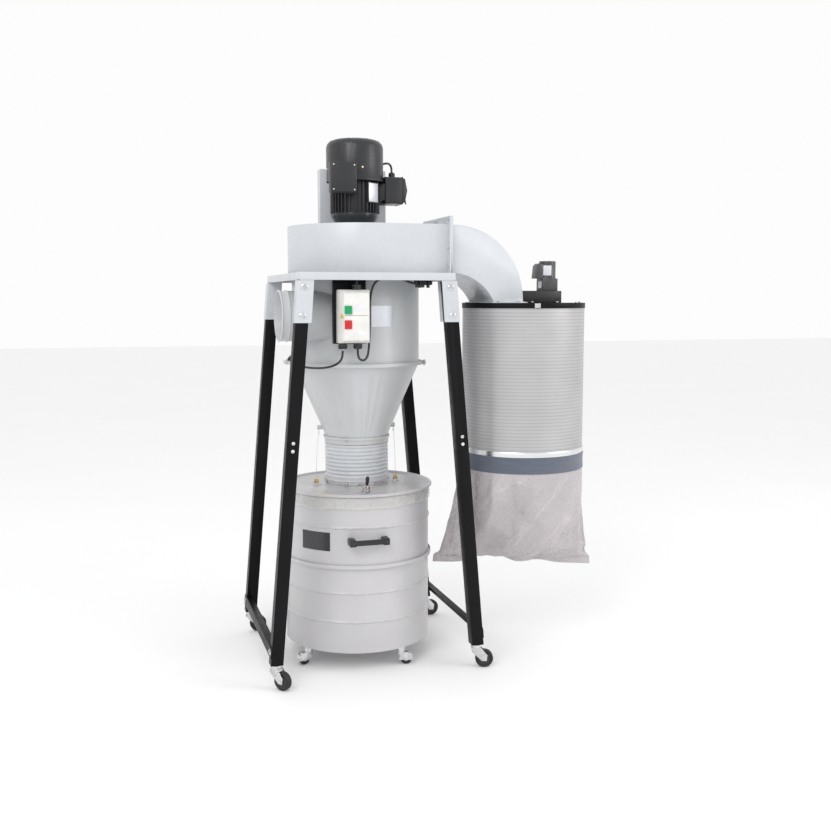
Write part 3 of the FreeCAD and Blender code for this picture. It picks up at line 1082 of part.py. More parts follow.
# Hand-chosen routes of the three cables, each held by the machine all the way.
MOTOR_CABLE = [
    (-139, -357, 1348), (-139, -357, 1318), (-150, -350, 1293), (-177, -326, 1276), (-208, -278, 1267),
    (-236, -216, 1264), (-266, -152, 1267), (-289, -88, 1276), (-293, -20, 1290), (-280, 46, 1297),
    (-256, 110, 1298), (-225, 168, 1298), (-192, 214, 1314), (-174, 244, 1350), (-164, 266, 1400),
    (-158, 284, 1455), (-153, 296, 1515), (-149, 303, 1575), (-147, 306, 1632), (-145, 305, 1688),
    (-138, 298, 1742), (-126, 282, 1794), (-106, 254, 1842), (-76, 220, 1882), (-40, 190, 1922),
    (0, 176, 1968), (38, 168, 2016), (74, 158, 2062), (106, 140, 2098), (132, 110, 2118),
    (150, 72, 2124), (160, 38, 2120), (164.5, 16, 2104), (165, 12, 2082), (165, 12, 2062)]
CLEANER_CABLE = [
    (-79, -357, 1348), (-79, -357, 1322), (-70, -356, 1303), (-50, -353, 1299), (-36, -348, 1316),
    (-29, -342, 1352), (-25, -336, 1400), (-22, -331, 1456), (-21, -327, 1512), (-17, -325, 1564),
    (-4, -327, 1604), (24, -331, 1624), (70, -334, 1630), (125, -334, 1629), (180, -326, 1630),
    (232, -302, 1629), (268, -260, 1630), (286, -208, 1629), (291, -150, 1630), (292, -92, 1629),
    (291, -34, 1630), (290, 20, 1629), (291, 66, 1630), (302, 100, 1629), (330, 118, 1630),
    (362, 104, 1645), (384, 66, 1668), (404, 20, 1684), (432, -22, 1684), (470, -40, 1664),
    (512, -41, 1628), (548, -40, 1590), (586, -40, 1556), (634, -43, 1538), (682, -68, 1532),
    (732, -92, 1532), (772, -112, 1541), (794, -124, 1562), (800, -132, 1586), (800, -140, 1600),
    (800, -156, 1603)]
SUPPLY_LEAD = [
    (-82, -357, 1596), (-82, -357, 1614), (-73, -357, 1628), (-52, -356, 1632), (-18, -357, 1630),
    (24, -358, 1628), (66, -358, 1628), (104, -357, 1620), (134, -356, 1608), (160, -356, 1602)]


def cables():
    """Motor cable, cleaning motor cable, and the supply lead that is tied up under the plate."""
    hank = block(148.0, -374.0, 1583.0, 240.0, -338.0, 1622.0)
    hank = hank.makeFillet(14.0, [e for e in hank.Edges if e.BoundBox.YLength > 30.0])
    lead = cord(SUPPLY_LEAD, CABLE_D).cut(hank)
    hank = fuse([hank, lead])
    keep("power_cables", [cord(MOTOR_CABLE, CABLE_D), cord(CLEANER_CABLE, CABLE_D), hank])


# ---- fasteners ------------------------------------------------------------------------------
def fasteners(stems):
    solids = list(stems)
    for name, sx, sy in CORNERS:
        face = PLATE_HALF_Y - PLATE_SHEET
        solids += [bolt(p, a, 17.0, 6.0) for p, a in leg_face_bolts(sx, sy, BRACKET_BOLTS_Z, face)]
        solids += [bolt(p, a, 13.0, 4.0) for p, a in leg_face_bolts(sx, sy, LEG_BOLTS_Z, LEG_FRONT)]
    for sx in (-1, 1):
        solids += [bolt(p, a, 13.0, 4.5) for p, a in rail_bolts(sx)]
    solids += [bolt(p, a, 13.0, 5.0, depth=16.0) for p, a in outlet_flange_bolts(ELBOW_FACE)]
    solids += [bolt(p, a, 13.0, 5.0, depth=8.0) for p, a in elbow_foot_bolts()]
    solids += [bolt(p, a, 11.0, 4.5, depth=6.0) for p, a in top_ring_bolts()]
    keep("fasteners", solids)


def build():
    top_frame()
    legs()
    side_rails()
    stems = leg_casters()
    fasteners(stems)
    drum_casters()
    blower_housing()
    impeller()
    motor_frame()
    motor_inside()
    fan_cover()
    cooling_fan()
    motor_boxes()
    motor_bracket()
    cyclone()
    clamp_bands()
    flex_hose()
    lift_wires()
    outlet_elbow()
    filter_top_plate()
    filter_cartridge()
    dust_bag()
    bag_strap()
    cleaning_drive()
    dust_drum()
    drum_liner()
    drum_handle()
    lid()
    lid_fittings()
    lid_lever()
    switch()
    cables()


def export():
    os.makedirs("parts", exist_ok=True)
    for name, shapes in PARTS.items():
        solids = []
        for shape in shapes:
            solids += shape.Solids
        for solid in solids:
            if not solid.isValid():
                print("invalid solid in", name)
        whole = solids[0] if len(solids) == 1 else Part.makeCompound(solids)
        whole.exportStep("parts/%s.step" % name)
    print(len(PARTS), "nodes")


build()
export()
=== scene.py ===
import json
import math

import bmesh
import bpy
from bpy.props import FloatProperty, FloatVectorProperty, IntProperty, PointerProperty
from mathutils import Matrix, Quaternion, Vector, noise


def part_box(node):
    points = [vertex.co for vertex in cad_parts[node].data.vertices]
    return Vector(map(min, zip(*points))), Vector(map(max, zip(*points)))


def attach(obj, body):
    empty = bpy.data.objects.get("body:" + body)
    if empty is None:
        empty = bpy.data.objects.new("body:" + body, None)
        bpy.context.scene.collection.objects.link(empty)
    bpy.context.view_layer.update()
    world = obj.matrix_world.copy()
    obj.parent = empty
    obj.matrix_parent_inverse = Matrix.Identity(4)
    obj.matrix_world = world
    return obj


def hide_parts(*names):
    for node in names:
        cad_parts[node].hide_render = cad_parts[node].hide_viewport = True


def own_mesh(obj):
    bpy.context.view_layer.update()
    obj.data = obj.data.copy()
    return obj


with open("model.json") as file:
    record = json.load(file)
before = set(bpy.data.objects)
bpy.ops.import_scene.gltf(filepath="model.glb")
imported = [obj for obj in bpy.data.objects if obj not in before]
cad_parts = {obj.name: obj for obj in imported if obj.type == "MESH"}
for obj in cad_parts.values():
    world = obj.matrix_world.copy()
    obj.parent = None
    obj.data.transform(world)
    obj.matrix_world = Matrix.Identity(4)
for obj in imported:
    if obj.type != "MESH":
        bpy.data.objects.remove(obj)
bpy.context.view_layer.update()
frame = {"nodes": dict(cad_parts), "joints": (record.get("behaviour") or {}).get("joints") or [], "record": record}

bl_info = {
    "name": "Cyclone dust collector",
    "version": (1, 0, 0),
    "blender": (4, 5, 0),
    "location": "View3D > Sidebar > Collector",
    "description": "Adds the finishes, soft goods and small parts of a two-stage dust collector",
    "category": "Add Mesh",
}

MM = 0.001
LEG_SLOPE = (448.0 - 315.0) / 1545.0
PLATE_TOP_Z = 1645.0         # millimetres, as are the leg numbers below
PLATE_HALF_X = 315.0
COVER_FEET_X = (660, 700, 815)


def mm(*values):
    """Point or size given in millimetres."""
    return Vector([v * MM for v in values])


def low(node):
    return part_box(node)[0]


def high(node):
    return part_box(node)[1]


def middle(node):
    return (low(node) + high(node)) / 2.0


def leg_outer(z):
    """Outer X of a leg at a height, both in millimetres."""
    return PLATE_HALF_X + LEG_SLOPE * (PLATE_TOP_Z - z)


def outward(degrees):
    """Unit vector that points away from a vertical axis at an angle from +X."""
    turn = math.radians(degrees)
    return Vector((math.cos(turn), math.sin(turn), 0.0))


# ---- settings -------------------------------------------------------------------------------
class CollectorStage(bpy.types.PropertyGroup):
    camera_at: FloatVectorProperty(name="Camera place", description="Where the camera stands", size=3,
                                   default=(-1.034, -4.282, 1.541), subtype="TRANSLATION")
    camera_yaw: FloatProperty(name="Camera yaw", description="Turn of the view to the right", default=0.2952,
                              subtype="ANGLE")
    camera_dip: FloatProperty(name="Camera dip", description="Downward tilt of the view", default=0.1134,
                              subtype="ANGLE")
    lens: FloatProperty(name="Lens", description="Focal length in millimetres on a 36 mm sensor", default=44.24,
                        min=1.0)
    key_power: FloatProperty(name="Key light", description="Power of the large front light in watts",
                             default=125.0)
    fill_power: FloatProperty(name="Fill light", description="Power of the right-hand light in watts",
                              default=70.0)
    sky: FloatProperty(name="Surround", description="Strength of the even surround light", default=0.98,
                       min=0.0)


class CollectorColours(bpy.types.PropertyGroup):
    housing: FloatVectorProperty(name="Housing", description="Cool white of the blower and stand top", size=3,
                                 default=(0.53, 0.55, 0.575), subtype="COLOR")
    cyclone: FloatVectorProperty(name="Cyclone", description="Light grey of barrel and cone", size=3,
                                 default=(0.53, 0.545, 0.555), subtype="COLOR")
    drum: FloatVectorProperty(name="Drum", description="Warm light grey of the drum", size=3,
                              default=(0.515, 0.505, 0.515), subtype="COLOR")
    black: FloatVectorProperty(name="Black coat", description="Coating of legs and rails", size=3,
                               default=(0.005, 0.005, 0.006), subtype="COLOR")
    motor: FloatVectorProperty(name="Motor", description="Coating of the motor", size=3,
                               default=(0.018, 0.019, 0.022), subtype="COLOR")
    ivory: FloatVectorProperty(name="Switch", description="Plastic of the switch box", size=3,
                               default=(0.70, 0.69, 0.66), subtype="COLOR")
    strap: FloatVectorProperty(name="Strap", description="Woven band round the bag", size=3,
                               default=(0.085, 0.10, 0.135), subtype="COLOR")
    pulley: FloatVectorProperty(name="Pulleys", description="Yellow of the wire pulleys", size=3,
                                default=(0.75, 0.47, 0.04), subtype="COLOR")


class CollectorSoftGoods(bpy.types.PropertyGroup):
    bag_creases: FloatProperty(name="Bag creases", description="Depth of the folds in the dust bag",
                               default=0.013, unit="LENGTH", min=0.0)
    bag_steps: IntProperty(name="Bag steps", description="Cloth frames run on the dust bag", default=24, min=1)
    liner_creases: FloatProperty(name="Liner creases", description="Depth of the folds in the drum liner",
                                 default=0.004, unit="LENGTH", min=0.0)
    hose_ribs: IntProperty(name="Hose ribs", description="Turns of the hose's wire", default=13, min=3)
    hose_rib: FloatProperty(name="Rib depth", description="Height of a rib over the hose wall", default=0.0055,
                            unit="LENGTH", min=0.0)


# ---- modelling helpers ----------------------------------------------------------------------
def clear_selection():
    if bpy.context.object and bpy.context.object.mode != "OBJECT":
        bpy.ops.object.mode_set(mode="OBJECT")
    bpy.ops.object.select_all(action="DESELECT")


def take(obj):
    clear_selection()
    obj.select_set(True)
    bpy.context.view_layer.objects.active = obj
    return obj


def named(name):
    obj = bpy.context.object
    obj.name = name
    obj.data.name = name
    return obj


def settle(obj):
    """Put the object at the origin, with its place in its mesh."""
    take(obj)
    bpy.ops.object.transform_apply(location=True, rotation=True, scale=True)
    return obj


def face_out(obj):
    take(obj)
    bpy.ops.object.mode_set(mode="EDIT")
    bpy.ops.mesh.select_all(action="SELECT")
    bpy.ops.mesh.remove_doubles(threshold=1e-6)
    bpy.ops.mesh.normals_make_consistent(inside=False)
    bpy.ops.object.mode_set(mode="OBJECT")
    return obj


def smooth(obj, angle=35.0):
    take(obj)
    bpy.ops.object.shade_smooth_by_angle(angle=math.radians(angle))
    return obj


def apply_modifier(obj, kind, **settings):
    take(obj)
    modifier = obj.modifiers.new(kind.title(), kind)
    for key, value in settings.items():
        setattr(modifier, key, value)
    bpy.ops.object.modifier_apply(modifier=modifier.name)
    return obj


def soften(obj, width, segments=2, angle=40.0):
    apply_modifier(obj, "BEVEL", width=width, segments=segments, limit_method="ANGLE",
                   angle_limit=math.radians(angle))
    return smooth(obj)


def pick(obj, test, kind="FACE"):
    """Enter edit mode on obj with only the faces chosen by test(centre, normal) selected."""
    take(obj)
    bpy.ops.object.mode_set(mode="EDIT")
    bpy.ops.mesh.select_mode(type=kind)
    bpy.ops.mesh.select_all(action="DESELECT")
    mesh = bmesh.from_edit_mesh(obj.data)
    for face in mesh.faces:
        face.select_set(test(face.calc_center_median(), face.normal))
    bmesh.update_edit_mesh(obj.data)


def done():
    bpy.ops.object.mode_set(mode="OBJECT")


def block(name, start, end, bevel=0.001):
    """Box between two corners with softened edges."""
    clear_selection()
    size = Vector(end) - Vector(start)
    bpy.ops.mesh.primitive_cube_add(size=1.0, location=(Vector(start) + Vector(end)) / 2.0, scale=size)
    obj = settle(named(name))
    return soften(obj, bevel) if bevel else obj


def turned(name, profile, base=(0, 0, 0), axis=(0, 0, 1), sides=48, angle=35.0):
    """Stack of (radius, height) steps extruded from a disc and laid along axis from base."""
    clear_selection()
    first = profile[0]
    bpy.ops.mesh.primitive_circle_add(vertices=sides, radius=first[0], fill_type="NGON",
                                      location=(0, 0, first[1]))
    obj = named(name)
    bpy.ops.object.transform_apply(location=True)
    bpy.ops.object.mode_set(mode="EDIT")
    bpy.ops.mesh.select_all(action="SELECT")
    for (r0, z0), (r1, z1) in zip(profile, profile[1:]):
        bpy.ops.mesh.extrude_region_move(TRANSFORM_OT_translate={"value": (0, 0, z1 - z0)})
        k = r1 / r0
        bpy.ops.transform.resize(value=(k, k, 1.0), center_override=(0, 0, z1))
    done()
    face_out(obj)
    obj.rotation_euler = Vector(axis).to_track_quat("Z", "Y").to_euler()
    obj.location = base
    return smooth(settle(obj), angle)


def hex_head(name, across, height, base, axis):
    """Hexagon head on its washer, with the chamfered crown of a rolled bolt."""
    r = across / math.sqrt(3.0)
    head = turned(name, [(r, 0.0), (r, height * 0.82), (r * 0.86, height)], base, axis, 6, 20.0)
    rim = [(r * 1.5, -0.0002), (r * 1.5, 0.0012), (r * 1.42, 0.0016)]
    washer = turned(name + "_washer", rim, base, axis, 32)
    return join(head, [washer])


def round_head(name, radius, height, base, axis):
    steps = [(radius * math.cos(t), height * math.sin(t)) for t in [math.radians(a) for a in range(0, 86, 17)]]
    return turned(name, steps, base, axis, 24)


def join(first, others):
    take(first)
    for other in others:
        other.select_set(True)
    bpy.ops.object.join()
    return bpy.context.object


def smooth_line(name, points, radius, order=3, resolution=5):
    """Round cable on one smooth curve through its route."""
    curve = bpy.data.curves.new(name, "CURVE")
    curve.dimensions = "3D"
    curve.bevel_depth = radius
    curve.bevel_resolution = 4
    curve.use_fill_caps = True
    spline = curve.splines.new("NURBS")
    spline.points.add(len(points) - 1)
    for point, place in zip(spline.points, points):
        point.co = (*place, 1.0)
    spline.order_u = order
    spline.use_endpoint_u = True
    spline.resolution_u = resolution
    obj = bpy.data.objects.new(name, curve)
    bpy.context.scene.collection.objects.link(obj)
    take(obj)
    bpy.ops.object.convert(target="MESH")
    obj = bpy.context.object
    obj.name = name
    return smooth(obj, 60.0)


def refined(node, name, bevel=0.0, angle=32.0):
    """Merged, smooth-shaded copy of a sheet-metal node, optionally with softened edges."""
    source = frame["nodes"][node]
    obj = bpy.data.objects.new(name, source.data.copy())
    bpy.context.scene.collection.objects.link(obj)
    obj.data.materials.clear()
    take(obj)
    bpy.ops.object.mode_set(mode="EDIT")
    bpy.ops.mesh.select_all(action="SELECT")
    bpy.ops.mesh.remove_doubles(threshold=2e-6)
    bpy.ops.mesh.dissolve_limited(angle_limit=math.radians(0.6))
    done()
    if bevel:
        apply_modifier(obj, "BEVEL", width=bevel, segments=2, limit_method="ANGLE",
                       angle_limit=math.radians(48), use_clamp_overlap=True)
    smooth(obj, angle)
    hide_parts(node)
    return obj


def place(obj, body, material, slot=None, replaces=()):
    obj.data.materials.clear()
    obj.data.materials.append(material)
    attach(obj, body)
    if replaces:
        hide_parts(*replaces)
    return obj


# ---- materials ------------------------------------------------------------------------------
class Nodes:
    """Small builder for a procedural material that reads object coordinates."""

    def __init__(self, name, **sockets):
        self.material = bpy.data.materials.new(name)
        self.material.use_nodes = True
        self.tree = self.material.node_tree
        self.shader = self.tree.nodes["Principled BSDF"]
        for key, value in sockets.items():
            self.shader.inputs[key.replace("_", " ")].default_value = value
        self.coords = self.tree.nodes.new("ShaderNodeTexCoord").outputs["Object"]

    def add(self, kind, links=(), **values):
        node = self.tree.nodes.new("ShaderNode" + kind)
        for key, value in values.items():
            setattr(node, key, value)
        for socket, source in dict(links).items():
            if hasattr(source, "is_output"):
                self.tree.links.new(source, node.inputs[socket])
            else:
                node.inputs[socket].default_value = source
        return node

    def math(self, operation, a, b=0.0, c=0.0):
        return self.add("Math", {0: a, 1: b, 2: c}, operation=operation).outputs[0]

    def moved(self, location=(0, 0, 0), scale=(1, 1, 1), rotation=(0, 0, 0)):
        links = {"Vector": self.coords, "Location": location, "Scale": scale, "Rotation": rotation}
        return self.add("Mapping", links).outputs[0]

    def noise(self, scale, detail=2.0, rough=0.5, vector=None):
        links = {"Vector": vector or self.coords, "Scale": scale, "Detail": detail, "Roughness": rough}
        return self.add("TexNoise", links).outputs["Fac"]

    def ramp(self, factor, dark, light):
        ends = {"Factor": factor, 6: (*dark, 1.0), 7: (*light, 1.0)}
        return self.add("Mix", ends, data_type="RGBA").outputs[2]

    def span(self, factor, start, end, old=(0.3, 0.7)):
        links = {"Value": factor, "From Min": old[0], "From Max": old[1], "To Min": start, "To Max": end}
        return self.add("MapRange", links).outputs[0]

    def colour(self, source):
        self.tree.links.new(source, self.shader.inputs["Base Color"])

    def rough(self, source):
        self.tree.links.new(source, self.shader.inputs["Roughness"])

    def alpha(self, source):
        self.tree.links.new(source, self.shader.inputs["Alpha"])

    def bump(self, height, distance, strength=1.0, under=None):
        links = {"Height": height, "Distance": distance, "Strength": strength}
        if under is not None:
            links["Normal"] = under
        out = self.add("Bump", links).outputs["Normal"]
        self.tree.links.new(out, self.shader.inputs["Normal"])
        return out


def shade(colour, factor):
    return tuple(min(1.0, c * factor) for c in colour)


def coat(name, colour, rough=(0.28, 0.40), vary=0.05, peel=0.00006, peel_scale=650.0, cloud=5.0, **sockets):
    """Powder coat: faint clouding, a soft orange peel and uneven gloss."""
    nodes = Nodes(name, **sockets)
    clouds = nodes.noise(cloud, 4.0, 0.6)
    nodes.colour(nodes.ramp(nodes.span(clouds, 0.0, 1.0), shade(colour, 1.0 - vary), shade(colour, 1.0 + vary)))
    nodes.rough(nodes.span(nodes.noise(cloud * 7.0, 5.0, 0.65), *rough))
    nodes.bump(nodes.noise(peel_scale, 2.0, 0.5), peel)
    return nodes.material


def plated(name, colour, rough=(0.18, 0.38), spangle=90.0):
    """Bright zinc: fine spangle in colour and gloss, light scratches."""
    nodes = Nodes(name, Metallic=1.0)
    cells = nodes.add("TexVoronoi", {"Vector": nodes.coords, "Scale": spangle}).outputs["Color"]
    grey = nodes.add("RGBToBW", {"Color": cells}).outputs[0]
    nodes.colour(nodes.ramp(grey, shade(colour, 0.82), shade(colour, 1.12)))
    nodes.rough(nodes.span(grey, *rough, old=(0.2, 0.8)))
    scratches = nodes.noise(1.0, 3.0, 0.6, nodes.moved(scale=(900, 60, 300)))
    nodes.bump(scratches, 0.00003)
    return nodes.material


def moulded(name, colour, rough=(0.35, 0.5), grain=1400.0, depth=0.00004, vary=0.07, **sockets):
    """Moulded plastic or rubber: fine grain and faint flow clouding."""
    nodes = Nodes(name, **sockets)
    clouds = nodes.noise(22.0, 3.0, 0.55)
    nodes.colour(nodes.ramp(nodes.span(clouds, 0.0, 1.0), shade(colour, 1.0 - vary), shade(colour, 1.0 + vary)))
    nodes.rough(nodes.span(nodes.noise(60.0, 3.0), *rough))
    nodes.bump(nodes.noise(grain, 2.0, 0.6), depth)
    return nodes.material


def around(nodes, centre, radius):
    """Distance round a vertical axis and height, both in metres."""
    parts = nodes.add("SeparateXYZ", {0: nodes.moved(location=(-centre.x, -centre.y, 0.0))}).outputs
    turn = nodes.math("ARCTAN2", parts[1], parts[0])
    return nodes.math("MULTIPLY", turn, radius), parts[2]


def perforated(name, centre, radius):
    """Perforated zinc sheet: round holes in straight rows that open on the pleats behind. The holes are painted in
    the pleats' pink-brown, darkened as painted shade inside the holes.
    """
    nodes = Nodes(name, Metallic=0.35)
    pitch = 2.0 * math.pi * radius / 176
    row = pitch * 1.5
    along, height = around(nodes, centre, radius)
    cells = [nodes.math("DIVIDE", along, pitch), nodes.math("DIVIDE", height, row)]
    u, v = [nodes.math("MULTIPLY", nodes.math("SUBTRACT", nodes.math("FRACT", cell), 0.5), size)
            for cell, size in zip(cells, (pitch, row))]
    away = nodes.math("SQRT", nodes.math("ADD", nodes.math("MULTIPLY", u, u), nodes.math("MULTIPLY", v, v)))
    solid = nodes.span(away, 0.0, 1.0, old=(0.0019, 0.0028))
    clouds = nodes.span(nodes.noise(7.0, 5.0, 0.6), 0.0, 1.0)
    sheet = nodes.ramp(clouds, (0.43, 0.43, 0.44), (0.47, 0.47, 0.48))
    # hole colour: the pleats' own pink-brown, darkened as painted shade inside the holes
    pleats_in_painted_shade = nodes.ramp(clouds, (0.27, 0.23, 0.22), (0.35, 0.29, 0.275))
    nodes.colour(nodes.add("Mix", {"Factor": solid, 6: pleats_in_painted_shade, 7: sheet}, data_type="RGBA").outputs[2])
    nodes.rough(nodes.span(nodes.noise(40.0, 4.0), 0.34, 0.44))
    nodes.bump(solid, 0.0003)
    return nodes.material


def pleated(name):
    """Spun polyester pleats with a pink-brown dust stain."""
    nodes = Nodes(name, Roughness=0.9)
    stain = nodes.noise(1.0, 5.0, 0.6, nodes.moved(scale=(14, 14, 3)))
    nodes.colour(nodes.ramp(nodes.span(stain, 0.0, 1.0), (0.42, 0.27, 0.22), (0.72, 0.58, 0.52)))
    nodes.bump(nodes.noise(900.0, 3.0, 0.7), 0.0002)
    return nodes.material


def film(name, colour, alpha=(0.5, 0.8), rough=(0.16, 0.34)):
    """Milky polyethylene film: long thin creases over faint crumples. Its colour and alpha carry painted fold
    light: painted highlights along the creases and painted shade from the crumples.
    """
    nodes = Nodes(name, IOR=1.5, Specular_IOR_Level=0.7)
    slant = {"Vector": nodes.coords, "Rotation": (0.0, -0.95, 0.0), "Scale": (0.95, 0.40, 0.17)}
    lay = nodes.add("Mapping", slant, vector_type="TEXTURE").outputs[0]
    sway = nodes.noise(1.0, 2.0, 0.45, lay)
    # crease lines, lightened in the colour below as painted highlights
    crease = nodes.span(nodes.math("ABSOLUTE", nodes.math("SUBTRACT", sway, 0.5)), 1.0, 0.0, old=(0.0, 0.009))
    crumple_and_shade = nodes.noise(7.0, 2.0, 0.45)
    # painted fold light for colour and alpha: painted highlights on the creases, painted shade from the crumples
    tone = nodes.math("MULTIPLY_ADD", crease, 0.24, nodes.math("MULTIPLY", crumple_and_shade, 0.6))
    nodes.colour(nodes.ramp(tone, shade(colour, 0.86), shade(colour, 1.25)))
    nodes.alpha(nodes.span(tone, *alpha, old=(0.15, 0.85)))
    nodes.rough(nodes.span(nodes.noise(70.0, 3.0), *rough))
    nodes.bump(crease, 0.003, 0.6, nodes.bump(nodes.math("ADD", crumple_and_shade, sway), 0.03, 0.6))
    return nodes.material


def woven(name, colour, centre, radius):
    """Plain-woven band: warp and weft ribs running round and up the strap."""
    nodes = Nodes(name, Sheen_Weight=0.35, Roughness=0.62)
    along, height = around(nodes, centre, radius)
    warp = nodes.math("SINE", nodes.math("MULTIPLY", along, 2400.0))
    weft = nodes.math("SINE", nodes.math("MULTIPLY", height, 2900.0))
    weave = nodes.math("MULTIPLY_ADD", nodes.math("MULTIPLY", warp, weft), 0.5, 0.5)
    streaks = nodes.noise(1.0, 4.0, 0.6, nodes.moved(scale=(9, 9, 70)))
    blend = nodes.math("MULTIPLY_ADD", weave, 0.35, nodes.math("MULTIPLY", streaks, 0.65))
    nodes.colour(nodes.ramp(blend, shade(colour, 0.65), shade(colour, 1.45)))
    nodes.bump(weave, 0.0004, 0.7)
    return nodes.material


def brushed(name, colour, scale, rough=(0.24, 0.4)):
    """Machined or brushed metal with its lay along the smallest scale axis."""
    nodes = Nodes(name, Metallic=1.0)
    lay = nodes.noise(1.0, 4.0, 0.7, nodes.moved(scale=scale))
    nodes.colour(nodes.ramp(nodes.span(lay, 0.0, 1.0), shade(colour, 0.85), shade(colour, 1.1)))
    nodes.rough(nodes.span(lay, *rough))
    nodes.bump(lay, 0.00005)
    return nodes.material


FINISH = {}


def collector_finishes():
    tone = bpy.context.scene.collector_colours
    axis = middle("filter_shell")
    shell_r = (high("filter_shell").x - low("filter_shell").x) / 2.0
    zinc = (0.66, 0.665, 0.67)
    FINISH.update(
        housing=coat("housing coat", tone.housing, rough=(0.24, 0.36)),
        cyclone=coat("cyclone coat", tone.cyclone, rough=(0.26, 0.40), vary=0.035),
        drum=coat("drum coat", tone.drum, rough=(0.28, 0.42), vary=0.04),
        black=coat("leg coat", tone.black, rough=(0.34, 0.5), vary=0.25, peel=0.00012, Specular_IOR_Level=0.14),
        motor=coat("motor coat", tone.motor, rough=(0.26, 0.4), vary=0.2, peel=0.00025, peel_scale=420.0),
        ivory=moulded("ivory plastic", tone.ivory, rough=(0.3, 0.42)),
        plastic=moulded("black plastic", (0.012, 0.012, 0.014), rough=(0.3, 0.46), vary=0.3),
        rubber=moulded("tyre rubber", (0.014, 0.013, 0.013), rough=(0.5, 0.7), depth=0.0001, vary=0.3),
        sheath=moulded("cable sheath", (0.016, 0.016, 0.018), rough=(0.32, 0.46), vary=0.25),
        green=moulded("green cap", (0.0, 0.30, 0.10), rough=(0.22, 0.34)),
        red=moulded("red cap", (0.55, 0.012, 0.015), rough=(0.22, 0.34)),
        yellow=moulded("yellow plastic", tone.pulley, rough=(0.3, 0.45)),
        label=moulded("plain label", (0.70, 0.71, 0.76), rough=(0.3, 0.4), depth=0.00001),
        zinc=plated("bright zinc", zinc),
        brass=plated("brass screw", (0.85, 0.58, 0.28), spangle=200.0),
        copper=brushed("copper winding", (0.72, 0.36, 0.20), (30, 30, 2500)),
        wire=brushed("bare wire", (0.75, 0.75, 0.76), (2500, 2500, 200)),
        steel=brushed("turned steel", (0.62, 0.62, 0.63), (120, 120, 1500)),
        silver=brushed("rating plate", (0.66, 0.68, 0.72), (20, 20, 1600), rough=(0.3, 0.45)),
        gunmetal=coat("gearmotor coat", (0.075, 0.075, 0.078), rough=(0.3, 0.42), vary=0.12, Metallic=0.35),
        hose=moulded("hose wall", (0.58, 0.60, 0.62), rough=(0.32, 0.5), vary=0.05),
        hose_wire=moulded("coppery hose wire", (0.40, 0.24, 0.15), rough=(0.35, 0.5), vary=0.3),
        shell=perforated("perforated sheet", axis, shell_r),
        ring=brushed("spun ring", (0.80, 0.81, 0.82), (14, 14, 1200), rough=(0.16, 0.34)),
        pleats=pleated("filter pleats"),
        film=film("bag film", (0.50, 0.465, 0.48), alpha=(0.80, 0.93)),
        liner=film("liner film", (0.66, 0.655, 0.64), alpha=(0.5, 0.82)),
        strap=woven("strap weave", tone.strap, axis, shell_r),
        cover=coat("drive cover coat", (0.016, 0.016, 0.018), rough=(0.3, 0.42), vary=0.2),
        plate=coat("plain dark plate", (0.035, 0.036, 0.04), rough=(0.24, 0.34), vary=0.1),
        # matte black used only on the drive cover's slots: painted shade standing in for the openings
        gasket=moulded("gasket foam", (0.02, 0.02, 0.022), rough=(0.7, 0.85), depth=0.0003),
    )


NODE_FINISH = {
    "housing": ("top_frame", "blower_housing", "outlet_elbow", "motor_bracket"),
    "cyclone": ("cyclone_barrel", "cyclone_cone", "vortex_tube", "clamp_bands"),
    "drum": ("drum_lower", "drum_upper", "drum_lid", "drum_clamp_ring"),
    "black": ("legs_upper", "legs_lower", "side_rails", "switch_bracket", "filter_top_plate", "drive_cover"),
    "motor": ("motor_frame", "fan_cover", "motor_boxes"),
    "plastic": ("cooling_fan", "lid_lever", "drum_handle"),
    "sheath": ("power_cables", "drive_belt"),
    "ivory": ("switch_box",),
    "green": ("start_button",),
    "red": ("stop_button",),
    "copper": ("motor_stator",),
    "steel": ("rotor_shaft", "impeller", "drive_pulley", "sweeper"),
    "zinc": ("fasteners", "lid_fittings"),
    "wire": ("lift_wires",),
    "gunmetal": ("gearmotor",),
    "hose": ("flex_hose",),
    "shell": ("filter_shell",),
    "pleats": ("filter_media",),
    "film": ("dust_bag",),
    "liner": ("drum_liner",),
    "strap": ("bag_strap",),
}


def finish_of(node):
    if "wheel" in node:
        return FINISH["rubber"]
    if "caster" in node:
        return FINISH["zinc"]
    for finish, nodes in NODE_FINISH.items():
        if node in nodes:
            return FINISH[finish]
    raise KeyError("no finish is chosen for " + node)


